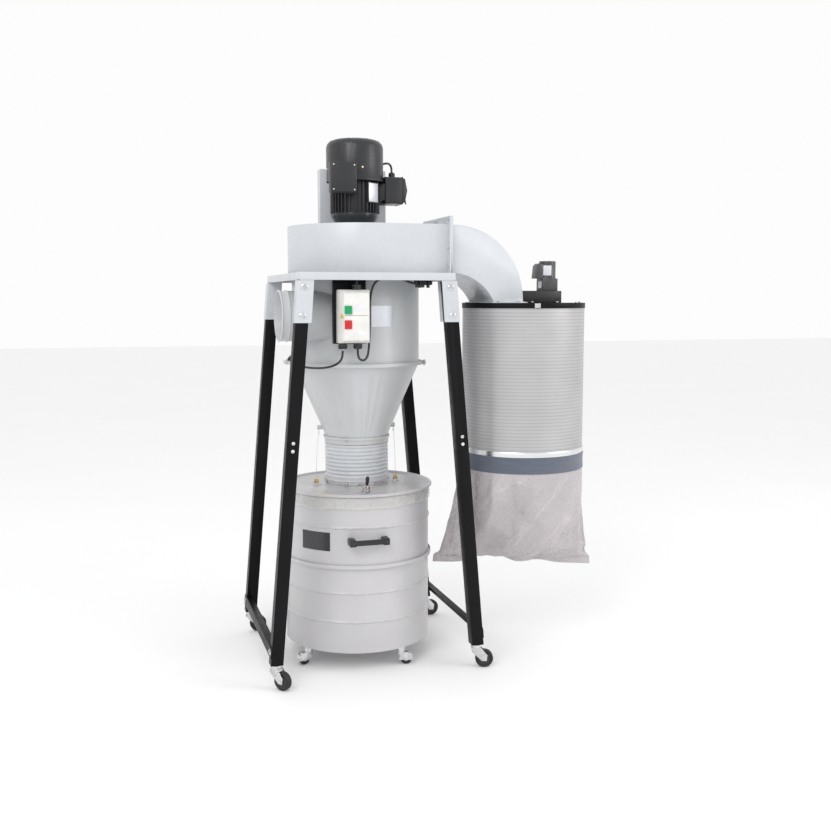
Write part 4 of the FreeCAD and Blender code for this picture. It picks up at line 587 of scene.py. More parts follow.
# ---- stage ----------------------------------------------------------------------------------
class COLLECTOR_OT_stage(bpy.types.Operator):
    """Add the floor, soft lights and camera"""
    bl_idname = "collector.stage"
    bl_label = "Stage"

    def execute(self, context):
        stage = context.scene.collector_stage
        clear_selection()
        bpy.ops.mesh.primitive_plane_add(size=60.0, location=(0, 0, -0.0004))
        floor = settle(named("floor"))
        paper = Nodes("pale floor", Roughness=0.75)
        paper.colour(paper.ramp(paper.noise(0.8, 3.0), (0.90, 0.90, 0.905), (0.93, 0.93, 0.935)))
        floor.data.materials.append(paper.material)
        world = bpy.data.worlds.new("surround")
        world.use_nodes = True
        back = world.node_tree.nodes["Background"]
        back.inputs["Color"].default_value = (1.0, 1.0, 1.0, 1.0)
        back.inputs["Strength"].default_value = stage.sky
        context.scene.world = world
        self.light("key", (-3.2, -4.2, 4.6), (0.1, 0, 1.1), 3.2, stage.key_power)
        self.light("fill", (4.4, -3.0, 3.0), (0.3, 0, 1.1), 2.6, stage.fill_power)
        eye = bpy.data.cameras.new("camera")
        eye.lens = stage.lens
        eye.sensor_width = 36.0
        eye.clip_end = 200.0
        camera = bpy.data.objects.new("camera", eye)
        camera.location = stage.camera_at
        camera.rotation_euler = (math.pi / 2.0 - stage.camera_dip, 0.0, -stage.camera_yaw)
        context.scene.collection.objects.link(camera)
        context.scene.camera = camera
        context.scene.view_settings.view_transform = "Standard"
        return {"FINISHED"}

    def light(self, name, place_at, aim, size, power):
        lamp = bpy.data.lights.new(name, "AREA")
        lamp.size = size
        lamp.energy = power
        obj = bpy.data.objects.new(name, lamp)
        obj.location = place_at
        obj.rotation_euler = (Vector(aim) - Vector(place_at)).to_track_quat("-Z", "Y").to_euler()
        bpy.context.scene.collection.objects.link(obj)


# ---- carried sheet metal --------------------------------------------------------------------
SHEET_METAL = {
    "top_frame": 0.0012, "legs_upper": 0.0020, "legs_lower": 0.0020, "side_rails": 0.0012,
    "motor_bracket": 0.0010, "blower_housing": 0.0008, "outlet_elbow": 0.0008, "cyclone_barrel": 0.0006,
    "cyclone_cone": 0.0006, "vortex_tube": 0.0, "clamp_bands": 0.0006, "drum_lower": 0.0004,
    "drum_upper": 0.0004, "drum_lid": 0.0006, "drum_clamp_ring": 0.0006, "fan_cover": 0.0008,
    "motor_frame": 0.0008, "motor_boxes": 0.0015, "filter_top_plate": 0.0006,
    "gearmotor": 0.0010, "switch_bracket": 0.0006, "switch_box": 0.0008,
}


class COLLECTOR_OT_bodywork(bpy.types.Operator):
    """Give every carried node its finish, and break the sharp edges of the bodywork"""
    bl_idname = "collector.bodywork"
    bl_label = "Bodywork"

    def execute(self, context):
        collector_finishes()
        slots = {s["node"]: s["material_slot"] for s in frame["record"]["subparts"]}
        for body, nodes in frame["record"]["behaviour"]["bodies"].items():
            for node in nodes:
                source = frame["nodes"][node]
                source.data.materials.clear()
                source.data.materials.append(finish_of(node))
                caster = "caster" in node
                if node in SHEET_METAL or caster:
                    width = 0.0006 if caster else SHEET_METAL[node]
                    obj = refined(node, node + "_skin", width)
                    if node == "switch_box":
                        self.drop_glands(obj)
                    place(obj, body, finish_of(node), slots[node])
        return {"FINISHED"}

    def drop_glands(self, obj):
        """The box keeps plain ends, since its black glands are pieces of their own."""
        pick(obj, lambda c, n: not 1.3685 < c.z < 1.5785)
        bpy.ops.mesh.delete(type="FACE")
        bpy.ops.mesh.select_all(action="SELECT")
        bpy.ops.mesh.fill_holes(sides=0)
        done()


# ---- motor ----------------------------------------------------------------------------------
class COLLECTOR_OT_motor(bpy.types.Operator):
    """Add the motor's screws, rating plate, seams and gland cap"""
    bl_idname = "collector.motor"
    bl_label = "Motor trim"

    def execute(self, context):
        cover = high("fan_cover")
        radius = (cover.x - low("fan_cover").x) / 2.0
        screws = []
        for i in range(4):
            out = outward(-88.0 + 90.0 * i)
            base = out * (radius - 0.0004) + Vector((0, 0, cover.z - 0.124))
            screws.append(round_head("cover_screw", 0.0052, 0.003, base, out))
        place(join(screws[0], screws[1:]), "frame", FINISH["brass"], "zinc").name = "cover_screws"
        self.grille(cover, radius)
        self.rating_plate()
        self.boxes()
        return {"FINISHED"}

    def grille(self, cover, radius):
        rings = []
        for r in (0.30, 0.42, 0.54):
            clear_selection()
            bpy.ops.mesh.primitive_torus_add(major_radius=radius * r, minor_radius=0.0017, major_segments=64,
                                             minor_segments=8, location=(0, 0, cover.z - 0.0016))
            rings.append(settle(named("grille_ring")))
        hub = turned("grille_hub", [(0.016, -0.003), (0.016, 0.0), (0.012, 0.0004)], (0, 0, cover.z - 0.0006))
        place(smooth(join(hub, rings)), "frame", FINISH["motor"], "motor_black").name = "cover_grille"
        seam = turned("seam", [(radius + 0.0003, 0.0), (radius + 0.0011, 0.001), (radius + 0.0011, 0.004),
                               (radius + 0.0003, 0.005)], (0, 0, low("fan_cover").z + 0.001), sides=96)
        pick(seam, lambda c, n: abs(n.z) > 0.99 and c.xy.length < 0.01)
        bpy.ops.mesh.delete(type="FACE")
        done()
        place(seam, "frame", FINISH["motor"], "motor_black").name = "cover_bead"

    def rating_plate(self):
        """Blank bright plate on its raised pad at the front right of the fins."""
        turn = math.radians(-57.0)
        out = Vector((math.cos(turn), math.sin(turn), 0.0))
        radius = 0.1045
        base_z = (low("motor_frame").z + high("motor_frame").z) / 2.0 + 0.035
        pad = block("plate_pad", (-0.006, -0.032, -0.043), (0.0015, 0.032, 0.043), 0.0008)
        plate = block("rating_plate", (0.0015, -0.027, -0.038), (0.0023, 0.027, 0.038), 0.0003)
        pins = [round_head("pin", 0.0019, 0.0012, (0.0022, y * 0.024, z * 0.034), (1, 0, 0))
                for y in (-1, 1) for z in (-1, 1)]
        pins = join(pins[0], pins[1:])
        for obj, finish in ((pad, "motor"), (plate, "silver"), (pins, "brass")):
            obj.rotation_euler = (0, 0, turn)
            obj.location = out * radius + Vector((0, 0, base_z))
            place(settle(obj), "frame", FINISH[finish], "motor_black")
        pins.name = "plate_pins"

    def boxes(self):
        """Lid line, screws and diagonal rib of the two electrical boxes."""
        front = block("capacitor_lid", mm(-137, -172, 1974), mm(-33, -167.5, 2090), 0.0015)
        line = block("capacitor_seam", mm(-141, -150, 1970), mm(-29, -147, 2094), 0.0012)
        rim = block("terminal_seam", mm(194.5, -49.5, 1941.5), mm(198.5, 63.5, 2055.5), 0.0014)
        rib = block("terminal_rib", mm(-3, -62, -2), mm(3, 62, 2), 0.0012)
        rib.rotation_euler = (math.radians(62.0), 0.0, 0.0)
        rib.location = mm(217, 7, 1999)
        settle(rib)
        trim = join(front, [line, rim, rib])
        place(trim, "frame", FINISH["motor"], "motor_black").name = "box_seams"
        screws = [round_head("s", 0.0034, 0.002, mm(x, -171.8, z), (0, -1, 0))
                  for x in (-128, -42) for z in (1983, 2081)]
        place(join(screws[0], screws[1:]), "frame", FINISH["zinc"], "zinc").name = "box_screws"
        gland = gland_body("motor_gland", mm(165, 12, 2054), (0, 0, 1), 0.0125)
        place(gland, "frame", FINISH["plastic"], "plastic_black")


def gland_body(name, base, axis, radius):
    """Cable gland: hexagon, ribbed cap and rounded nose."""
    nut = turned(name, [(radius * 1.12, 0), (radius * 1.12, 0.008)], base, axis, 6, 20.0)
    nose_profile = [(radius * 0.95, 0.0075), (radius, 0.009), (radius, 0.020), (radius * 0.86, 0.0235),
                    (radius * 0.55, 0.0245)]
    cap = turned(name + "_cap", nose_profile, base, axis, 32)
    direction = Vector(axis)
    side = direction.orthogonal().normalized()
    ribs = []
    for i in range(12):
        turn = side.copy()
        turn.rotate(Quaternion(direction, i * math.pi / 6.0))
        at = Vector(base) + turn * radius
        ribs.append(turned("rib", [(0.0013, 0.010), (0.0013, 0.0195), (0.0006, 0.0205)], at, axis, 8))
    return join(nut, [cap] + ribs)


# ---- switch ---------------------------------------------------------------------------------
class COLLECTOR_OT_switch(bpy.types.Operator):
    """Add the switch's blank labels, latches, seam, button caps and glands"""
    bl_idname = "collector.switch"
    bl_label = "Switch trim"

    def execute(self, context):
        front = low("switch_box").y
        face = [block("face_step", mm(-141, 0, 1477), mm(-43, 1.2, 1479), 0.0004),
                block("face_panel", mm(-141, -0.9, 1382), mm(-43, 0.4, 1476.5), 0.0006),
                block("top_latch", mm(-88, -1.0, 1556), mm(-72, 6, 1566), 0.0012),
                block("low_latch", mm(-82, -1.0, 1378), mm(-66, 6, 1388), 0.0012)]
        for obj in face:
            obj.location.y = front
            settle(obj)
        hollow = face[1]
        for name, finish in (("start_button", "green"), ("stop_button", "red")):
            self.button(name, finish)
        self.cut_button_space(hollow)
        seam = block("cover_seam", mm(-156.2, -350, 1368.8), mm(-33.8, -346.5, 1578.2), 0.0009)
        place(join(face[0], face[1:] + [seam]), "frame", FINISH["ivory"], "plastic_ivory").name = "switch_trim"
        labels = [block("label", mm(x0, -0.4, z0), mm(x1, 0.4, z1), 0.0001)
                  for x0, x1, z0, z1 in ((-103, -74, 1496, 1516), (-70, -50, 1502, 1514),
                                         (-94, -50, 1401, 1417))]
        for obj, step in zip(labels, (0.0, 0.0, -0.0009)):
            obj.location.y = front + step
            settle(obj)
        place(join(labels[0], labels[1:]), "frame", FINISH["label"], "plastic_ivory").name = "blank_labels"
        self.warning_patch()
        glands = [gland_body("switch_gland", mm(x, -357, z), (0, 0, s), 0.0165)
                  for x, z, s in ((-139, 1370, -1), (-79, 1370, -1), (-82, 1577, 1))]
        place(join(glands[0], glands[1:]), "frame", FINISH["plastic"], "plastic_black").name = "switch_glands"
        ring = turned("white_ring", [(0.0062, 0.0), (0.0062, 0.004)], mm(-139, -357, 1345.5), (0, 0, -1), 24)
        place(ring, "frame", FINISH["label"], "plastic_ivory")
        return {"FINISHED"}

    def cut_button_space(self, panel):
        """Faces of the raised panel behind the stop button are opened by a square cut."""
        room = mm(0.5, 5, 0.5)
        cutter = block("cutter", low("stop_button") - room, high("stop_button") + room, 0.0)
        apply_modifier(panel, "BOOLEAN", operation="DIFFERENCE", object=cutter, solver="EXACT")
        bpy.data.objects.remove(cutter)

    def button(self, name, finish):
        """Square cap with a dished face."""
        a, b = low(name), high(name)
        cap = block(name + "_cap", a, b, 0.0)
        pick(cap, lambda c, n: n.y < -0.9)
        bpy.ops.mesh.inset(thickness=0.0024, depth=0.0)
        bpy.ops.transform.translate(value=(0, 0.0011, 0))
        done()
        soften(cap, 0.0009, 3)
        place(cap, name, FINISH[finish], finish, (name,))

    def warning_patch(self):
        """Plain yellow triangle on the left bevel."""
        clear_selection()
        bpy.ops.mesh.primitive_cylinder_add(vertices=3, radius=0.0125, depth=0.0007)
        obj = named("yellow_triangle")
        obj.rotation_euler = (math.pi / 2.0, 0.0, math.radians(-59.0))
        obj.location = mm(-149.2, -389.2, 1474)
        place(settle(obj), "frame", FINISH["yellow"], "plastic_ivory")


# ---- cables ---------------------------------------------------------------------------------
CABLE_RADIUS = 4.5 * MM
LEVER_Y = -0.231
LEVER_PIVOT_Z = 0.766
MOTOR_CABLE = (
    (-139, -357, 1348), (-139, -357, 1318), (-150, -350, 1293), (-177, -326, 1276), (-208, -278, 1267),
    (-236, -216, 1264), (-266, -152, 1267), (-289, -88, 1276), (-293, -20, 1290), (-280, 46, 1297),
    (-256, 110, 1298), (-225, 168, 1298), (-192, 214, 1314), (-174, 244, 1350), (-164, 266, 1400),
    (-158, 284, 1455), (-153, 296, 1515), (-149, 303, 1575), (-147, 306, 1632), (-145, 305, 1688),
    (-138, 298, 1742), (-126, 282, 1794), (-106, 254, 1842), (-76, 220, 1882), (-40, 190, 1922),
    (0, 176, 1968), (38, 168, 2016), (74, 158, 2062), (106, 140, 2098), (132, 110, 2118),
    (150, 72, 2124), (160, 38, 2120), (164.5, 16, 2104), (165, 12, 2082), (165, 12, 2062))
CLEANER_CABLE = (
    (-79, -357, 1348), (-79, -357, 1322), (-70, -356, 1303), (-50, -353, 1299), (-36, -348, 1316),
    (-29, -342, 1352), (-25, -336, 1400), (-22, -331, 1456), (-21, -327, 1512), (-17, -325, 1564),
    (-4, -327, 1604), (24, -331, 1624), (70, -334, 1630), (125, -334, 1629), (180, -326, 1630),
    (232, -302, 1629), (268, -260, 1630), (286, -208, 1629), (291, -150, 1630), (292, -92, 1629),
    (291, -34, 1630), (290, 20, 1629), (291, 66, 1630), (302, 100, 1629), (330, 118, 1630),
    (362, 104, 1645), (384, 66, 1668), (404, 20, 1684), (432, -22, 1684), (470, -40, 1664),
    (512, -41, 1628), (548, -40, 1590), (586, -40, 1556), (634, -43, 1538), (682, -68, 1532),
    (732, -92, 1532), (772, -112, 1541), (794, -124, 1562), (800, -132, 1586), (800, -140, 1600),
    (800, -156, 1603))
SUPPLY_LEAD = (
    (-82, -357, 1596), (-82, -357, 1614), (-73, -357, 1628), (-52, -356, 1632), (-18, -357, 1630),
    (24, -358, 1628), (66, -358, 1628), (104, -357, 1620), (134, -356, 1608), (160, -356, 1602))


class COLLECTOR_OT_cables(bpy.types.Operator):
    """Run the motor, cleaner and supply cables, with the tied hank, clips and grommets"""
    bl_idname = "collector.cables"
    bl_label = "Cables"

    def execute(self, context):
        runs = [smooth_line(name, [mm(*p) for p in route], CABLE_RADIUS)
                for name, route in (("motor_cable", MOTOR_CABLE), ("cleaner_cable", CLEANER_CABLE),
                                    ("supply_lead", SUPPLY_LEAD))]
        runs.append(self.hank())
        cables = join(runs[0], runs[1:])
        place(smooth(cables, 60.0), "frame", FINISH["sheath"], "cable_rubber", ("power_cables",))
        ties = [block("tie", mm(x - 2.5, -372, 1586), mm(x + 2.5, -340, 1620), 0.0012) for x in (176, 212)]
        ties += [block("clip", mm(x - 4, -338 - 2, 1622), mm(x + 4, -326, 1641), 0.0012) for x in (70, 125)]
        ties.append(block("barrel_clip", mm(-299, -27, 1284), mm(-286, -15, 1297), 0.0014))
        lip = [(0.0095, 0.0), (0.0105, 0.0012), (0.0105, 0.0052), (0.0085, 0.0066)]
        ties.append(turned("plate_grommet", lip, mm(-147, 306, 1641.2), (0, 0, 1), 32))
        ties.append(turned("side_grommet", lip, mm(311.2, 107.7, 1629.5), (1, 0, 0), 32))
        place(join(ties[0], ties[1:]), "frame", FINISH["plastic"], "plastic_black").name = "cable_clips"
        return {"FINISHED"}

    def hank(self):
        """Spare supply lead folded to and fro, its plug tucked at the end."""
        points = []
        for i in range(7):
            y = -349.0 - 3.2 * (i % 3) - 0.5 * i
            z = 1612.0 - 3.6 * (i // 2) - 2.0 * (i % 2)
            left, right = 158.0 + 2.0 * (i % 3), 228.0 - 2.5 * (i % 2)
            ends = (left, right) if i % 2 == 0 else (right, left)
            points += [mm(ends[0], y, z), mm((ends[0] + ends[1]) / 2.0, y - 1.0, z - 1.5), mm(ends[1], y, z)]
        cable = smooth_line("hank", points, CABLE_RADIUS * 0.92)
        plug = block("plug", mm(160, -366, 1587), mm(196, -344, 1600), 0.004)
        return join(cable, [plug])


# ---- hose and lid ---------------------------------------------------------------------------
def open_tube(name, profile, sides=96, centre=(0, 0, 0)):
    """Open surface of revolution through (radius, height) steps."""
    clear_selection()
    r0, z0 = profile[0]
    bpy.ops.mesh.primitive_circle_add(vertices=sides, radius=r0, fill_type="NOTHING", location=(0, 0, z0))
    obj = named(name)
    bpy.ops.object.transform_apply(location=True)
    bpy.ops.object.mode_set(mode="EDIT")
    bpy.ops.mesh.select_mode(type="EDGE")
    bpy.ops.mesh.select_all(action="SELECT")
    for (ra, za), (rb, zb) in zip(profile, profile[1:]):
        bpy.ops.mesh.extrude_region_move(TRANSFORM_OT_translate={"value": (0, 0, zb - za)})
        k = rb / ra
        bpy.ops.transform.resize(value=(k, k, 1.0), center_override=(0, 0, zb))
    done()
    obj.location = centre
    settle(obj)
    return face_out(obj)


class COLLECTOR_OT_hose(bpy.types.Operator):
    """Corrugated hose with its wires"""
    bl_idname = "collector.hose"
    bl_label = "Hose"

    def execute(self, context):
        soft = context.scene.collector_soft
        a, b = low("flex_hose"), high("flex_hose")
        wall = b.x - 2.2 * soft.hose_rib
        ribs = soft.hose_ribs
        pitch = (b.z - a.z - 0.006) / ribs
        steps = 10
        profile = []
        for i in range(ribs * steps + 1):
            z = a.z + 0.003 + pitch * i / steps
            swell = 0.5 - 0.5 * math.cos(2.0 * math.pi * i / steps)
            profile.append((wall + soft.hose_rib * swell ** 0.7, z))
        hose = open_tube("hose_wall", profile)
        for vertex in hose.data.vertices:
            crease = noise.noise(vertex.co * 14.0) * 0.0010
            tilt = 0.0016 * math.sin(math.atan2(vertex.co.y, vertex.co.x) + 0.8)
            vertex.co.x *= 1.0 + crease / wall
            vertex.co.y *= 1.0 + crease / wall
            vertex.co.z = min(max(vertex.co.z + tilt, a.z + 0.0005), b.z - 0.0005)
        apply_modifier(hose, "SOLIDIFY", thickness=0.0012, offset=-1.0)
        place(smooth(hose, 60.0), "frame", FINISH["hose"], "hose_grey", ("flex_hose",))
        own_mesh(hose)
        wires = []
        for i in (1.5, ribs - 2.0, ribs - 1.6):
            clear_selection()
            bpy.ops.mesh.primitive_torus_add(major_radius=wall + 0.0022, minor_radius=0.0012, major_segments=96,
                                             minor_segments=8, location=(0, 0, a.z + 0.003 + pitch * i),
                                             rotation=(0.010, 0.012, 0))
            wires.append(settle(named("hose_wire")))
        wires = smooth(join(wires[0], wires[1:]), 60.0)
        wires.name = "hose_wires"
        place(wires, "frame", FINISH["hose_wire"], "hose_grey")
        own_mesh(wires)
        return {"FINISHED"}


class COLLECTOR_OT_lid(bpy.types.Operator):
    """Wire pulleys, lift wires, toggle lever, latch and blank patch on the lid"""
    bl_idname = "collector.lid"
    bl_label = "Lid fittings"

    def execute(self, context):
        flat = low("lid_fittings").z
        sheaves = []
        brackets = []
        for side in (-1, 1):
            x, y, z = side * 0.177, 0.010, flat + 0.018
            groove = [(0.0105, -0.005), (0.0105, -0.0035), (0.0078, -0.0008), (0.0078, 0.0008),
                      (0.0105, 0.0035), (0.0105, 0.005)]
            sheaves.append(turned("sheave", groove, (x, y, z), (1, 0, 0), 32))
            brackets.append(block("foot", (x - 0.014, y - 0.012, flat), (x + 0.014, y + 0.012, flat + 0.0025),
                                  0.0006))
            for s in (-1, 1):
                brackets.append(self.cheek(x + s * 0.0071, y, flat))
                brackets.append(round_head("pin", 0.0042, 0.003, (x + s * 0.0086, y, z), (s, 0, 0)))
                at = (x + s * 0.011, y + 0.0085, flat + 0.0024)
                brackets.append(round_head("rivet", 0.0026, 0.0012, at, (0, 0, 1)))
        fittings = self.lever_base(flat) + brackets
        base = join(fittings[0], fittings[1:])
        base.name = "lid_brackets"
        band = self.hose_band(0.1423, low("lid_fittings").z + 0.0148)
        place(join(base, [band]), "lid", FINISH["zinc"], "zinc", ("lid_fittings",))
        place(join(sheaves[0], sheaves[1:]), "lid", FINISH["yellow"], "zinc").name = "sheaves"
        upper = self.hose_band(0.1423, 0.949)
        place(upper, "frame", FINISH["zinc"], "zinc").name = "upper_hose_band"
        patch = block("yellow_patch", mm(-197, -184, 0), mm(-163, -174, 0.5), 0.0002)
        patch.location.z = flat
        patch.name = "yellow_patch"
        place(settle(patch), "lid", FINISH["yellow"], "drum_grey")
        self.wires(flat)
        self.lever()
        return {"FINISHED"}

    def cheek(self, x, y, flat):
        """Side plate of a pulley bracket, rounded over its pin."""
        obj = block("cheek", (x - 0.0011, y - 0.009, flat), (x + 0.0011, y + 0.009, flat + 0.018), 0.0)
        cap = turned("cheek_top", [(0.009, -0.0011), (0.009, 0.0011)], (x, y, flat + 0.018), (1, 0, 0), 32)
        return join(obj, [cap])

    def hose_band(self, radius, z):
        clear_selection()
        band = open_tube("hose_band", [(radius, z), (radius + 0.0004, z + 0.0005),
                                       (radius + 0.0004, z + 0.0095), (radius, z + 0.010)])
        apply_modifier(band, "SOLIDIFY", thickness=0.0009, offset=-1.0)
        smooth(band)
        turn = math.radians(237.0)
        out = Vector((math.cos(turn), math.sin(turn), 0.0))
        side = Vector((-out.y, out.x, 0.0))
        centre = out * (radius + 0.004) + Vector((0, 0, z + 0.005))
        house = block("worm_housing", (-0.003, -0.009, -0.0055), (0.003, 0.009, 0.0055), 0.001)
        house.rotation_euler = (0, 0, turn)
        house.location = centre
        settle(house)
        screw = hex_head("worm_screw", 0.007, 0.004, centre + side * 0.009, side)
        return join(band, [house, screw])

    def lever_base(self, flat):
        x, y, pivot = middle("lid_lever").x, LEVER_Y, LEVER_PIVOT_Z
        parts = [block("lever_foot", (x - 0.022, y - 0.026, flat), (x + 0.022, y + 0.026, flat + 0.003),
                       0.0008)]
        for s in (-1, 1):
            parts.append(block("ear", (x + s * 0.012 - 0.0014, y - 0.013, flat),
                               (x + s * 0.012 + 0.0014, y + 0.013, pivot + 0.006), 0.001))
            parts.append(hex_head("pivot_bolt", 0.010, 0.0045, (x + s * 0.0134, y, pivot), (s, 0, 0)))
            for t in (-1, 1):
                at = (x + s * 0.017, y + t * 0.021, flat + 0.003)
                parts.append(hex_head("foot_bolt", 0.007, 0.004, at, (0, 0, 1)))
        parts.append(turned("pivot_pin", [(0.0029, -0.015), (0.0029, 0.015)], (x, y, pivot), (1, 0, 0), 24))
        parts.append(turned("spindle", [(0.0028, 0.0), (0.0028, 0.024), (0.002, 0.026)],
                            (x + 0.002, y + 0.0085, pivot - 0.008), (0.2, 1, 0), 16))
        return parts

    def lever(self):
        """Black tapered grip on a plated arm, with red stops beside it."""
        x, y, pivot = middle("lid_lever").x, LEVER_Y, LEVER_PIVOT_Z
        lean = Vector((0, -math.sin(math.radians(18.0)), math.cos(math.radians(18.0))))
        taper = [(0.0056, 0.012), (0.0064, 0.015), (0.0078, 0.032), (0.0086, 0.041), (0.0076, 0.046),
                 (0.0048, 0.0490), (0.0015, 0.0498)]
        grip = turned("lever_grip", taper, (x, y, pivot), lean, 32, 60.0)
        place(grip, "lever", FINISH["plastic"], "plastic_black", ("lid_lever",))
        arm = turned("lever_arm", [(0.0042, 0.0), (0.0042, 0.0125)], (x, y, pivot), lean, 16)
        hub = turned("lever_hub", [(0.0080, -0.0095), (0.0088, -0.0085), (0.0088, 0.0085), (0.0080, 0.0095)],
                     (x, y, pivot), (1, 0, 0), 32)
        place(join(hub, [arm]), "lever", FINISH["zinc"], "zinc")
        stops = [turned("stop", [(0.0034, 0.0), (0.0034, 0.005), (0.0022, 0.007)],
                        (x + s * 0.0070, y - 0.0075, pivot + 0.001), (0, -1, 0.1), 16) for s in (-1, 1)]
        place(join(stops[0], stops[1:]), "lever", FINISH["red"], "red").name = "lever_stops"

    def wires(self, flat):
        """Hook, ferrule and slightly slack wire from each cone tab to its pulley."""
        top = high("lift_wires").z
        for side, name in ((-1, "left_wire"), (1, "right_wire")):
            start = Vector((side * 0.166, 0.0, top - 0.0142))
            end = Vector((side * 0.177, 0.010, flat + 0.030))
            route = [start + (end - start) * t + Vector((side * 0.003 * math.sin(math.pi * t), 0, 0))
                     for t in (0.0, 0.25, 0.5, 0.75, 1.0)]
            wire = smooth_line(name, route, 0.0009)
            clear_selection()
            bpy.ops.mesh.primitive_torus_add(major_radius=0.0065, minor_radius=0.0012,
                                             location=start + Vector((0, 0, 0.0065)),
                                             rotation=(0, math.pi / 2.0, 0), major_segments=32,
                                             minor_segments=8)
            hook = settle(named("hook"))
            ferrule = turned("ferrule", [(0.0018, 0.0), (0.0026, 0.002), (0.0026, 0.011), (0.0018, 0.013)],
                             start - Vector((0, 0, 0.016)), (0, 0, 1), 16)
            wire = smooth(join(wire, [hook, ferrule]), 60.0)
            wire.name = name
            place(wire, "frame", FINISH["wire"], "zinc")
            if side < 0:
                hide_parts("lift_wires")
            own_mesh(wire)


# ---- drum -----------------------------------------------------------------------------------
class COLLECTOR_OT_drum(bpy.types.Operator):
    """Pull handle, blank dark plate, rivets and clamp bolt of the drum"""
    bl_idname = "collector.drum"
    bl_label = "Drum trim"

    def execute(self, context):
        self.handle()
        self.plate()
        self.clamp()
        return {"FINISHED"}

    def handle(self):
        a, b = low("drum_handle"), high("drum_handle")
        z = (a.z + b.z) / 2.0
        front = a.y + 0.001
        grip = block("grip", (a.x + 0.014, front, z - 0.0105), (b.x - 0.014, front + 0.016, z + 0.0105), 0.004)
        soften(grip, 0.0012)
        ends = []
        for x, s in ((a.x, 1), (b.x, -1)):
            cheek = block("end", (min(x, x + s * 0.026), front + 0.001, z - 0.0135),
                          (max(x, x + s * 0.026), -0.300, z + 0.0135), 0.0)
            pick(cheek, lambda c, n: n.y < -0.9)
            bpy.ops.mesh.inset(thickness=0.003)
            bpy.ops.transform.translate(value=(0, 0.0012, 0))
            done()
            ends.append(soften(cheek, 0.0022, 3))
        handle = join(grip, ends)
        handle.name = "pull_handle"
        place(handle, "drum", FINISH["plastic"], "plastic_black", ("drum_handle",))
        screws = [round_head("screw", 0.0042, 0.0018, (x + s * 0.013, front + 0.002, z), (0, -1, 0))
                  for x, s in ((a.x, 1), (b.x, -1))]
        place(join(screws[0], screws[1:]), "drum", FINISH["plate"], "zinc").name = "handle_screws"

    def plate(self):
        """Plain plate curved to the drum, with a small rivet near each corner."""
        radius = 0.3113
        left, right = math.radians(210.0), math.radians(235.5)
        bottom, top = 0.513, 0.590
        clear_selection()
        bpy.ops.mesh.primitive_grid_add(x_subdivisions=24, y_subdivisions=2, size=1.0)
        plate = named("blank_plate")
        for vertex in plate.data.vertices:
            turn = left + (right - left) * (vertex.co.x + 0.5)
            height = bottom + (top - bottom) * (vertex.co.y + 0.5)
            vertex.co = Vector((radius * math.cos(turn), radius * math.sin(turn), height))
        apply_modifier(plate, "SOLIDIFY", thickness=0.0008, offset=1.0)
        plate.location = (0, 0, 0)
        place(smooth(face_out(plate)), "drum", FINISH["plate"], "drum_grey")
        rivets = []
        for turn in (left - 0.035, right + 0.035):
            for z in (bottom - 0.009, bottom + 0.024, top - 0.024, top + 0.009):
                out = Vector((math.cos(turn), math.sin(turn), 0.0))
                rivets.append(round_head("rivet", 0.0022, 0.0012, out * 0.3108 + Vector((0, 0, z)), out))
        place(join(rivets[0], rivets[1:]), "drum", FINISH["drum"], "drum_grey").name = "plate_rivets"

    def clamp(self):
        """Plated bolt, wing nut and washers through the ring's two ears."""
        out = outward(172.0)
        side = Vector((-out.y, out.x, 0.0))
        centre = out * 0.3313 + Vector((0, 0, 0.449))
        bolt = hex_head("clamp_bolt", 0.013, 0.006, centre + side * 0.010, side)
        bolt = join(bolt, wing_nut(centre - side * 0.010, -side))
        place(bolt, "drum", FINISH["zinc"], "zinc").name = "ring_bolt"


def wing_nut(base, axis):
    """Cylindrical nut with two raised wings."""
    axis = Vector(axis).normalized()
    nut = turned("wing_nut", [(0.0065, 0.0), (0.0055, 0.006), (0.0045, 0.007)], base, axis, 24)
    wings = []
    for s in (-1, 1):
        lean = axis * 0.7 + Vector((0, 0, s))
        wings.append(turned("wing", [(0.0022, 0.0), (0.0040, 0.006), (0.0044, 0.011), (0.0026, 0.014)],
                            Vector(base) + axis * 0.003, lean, 16))
    return [nut] + wings


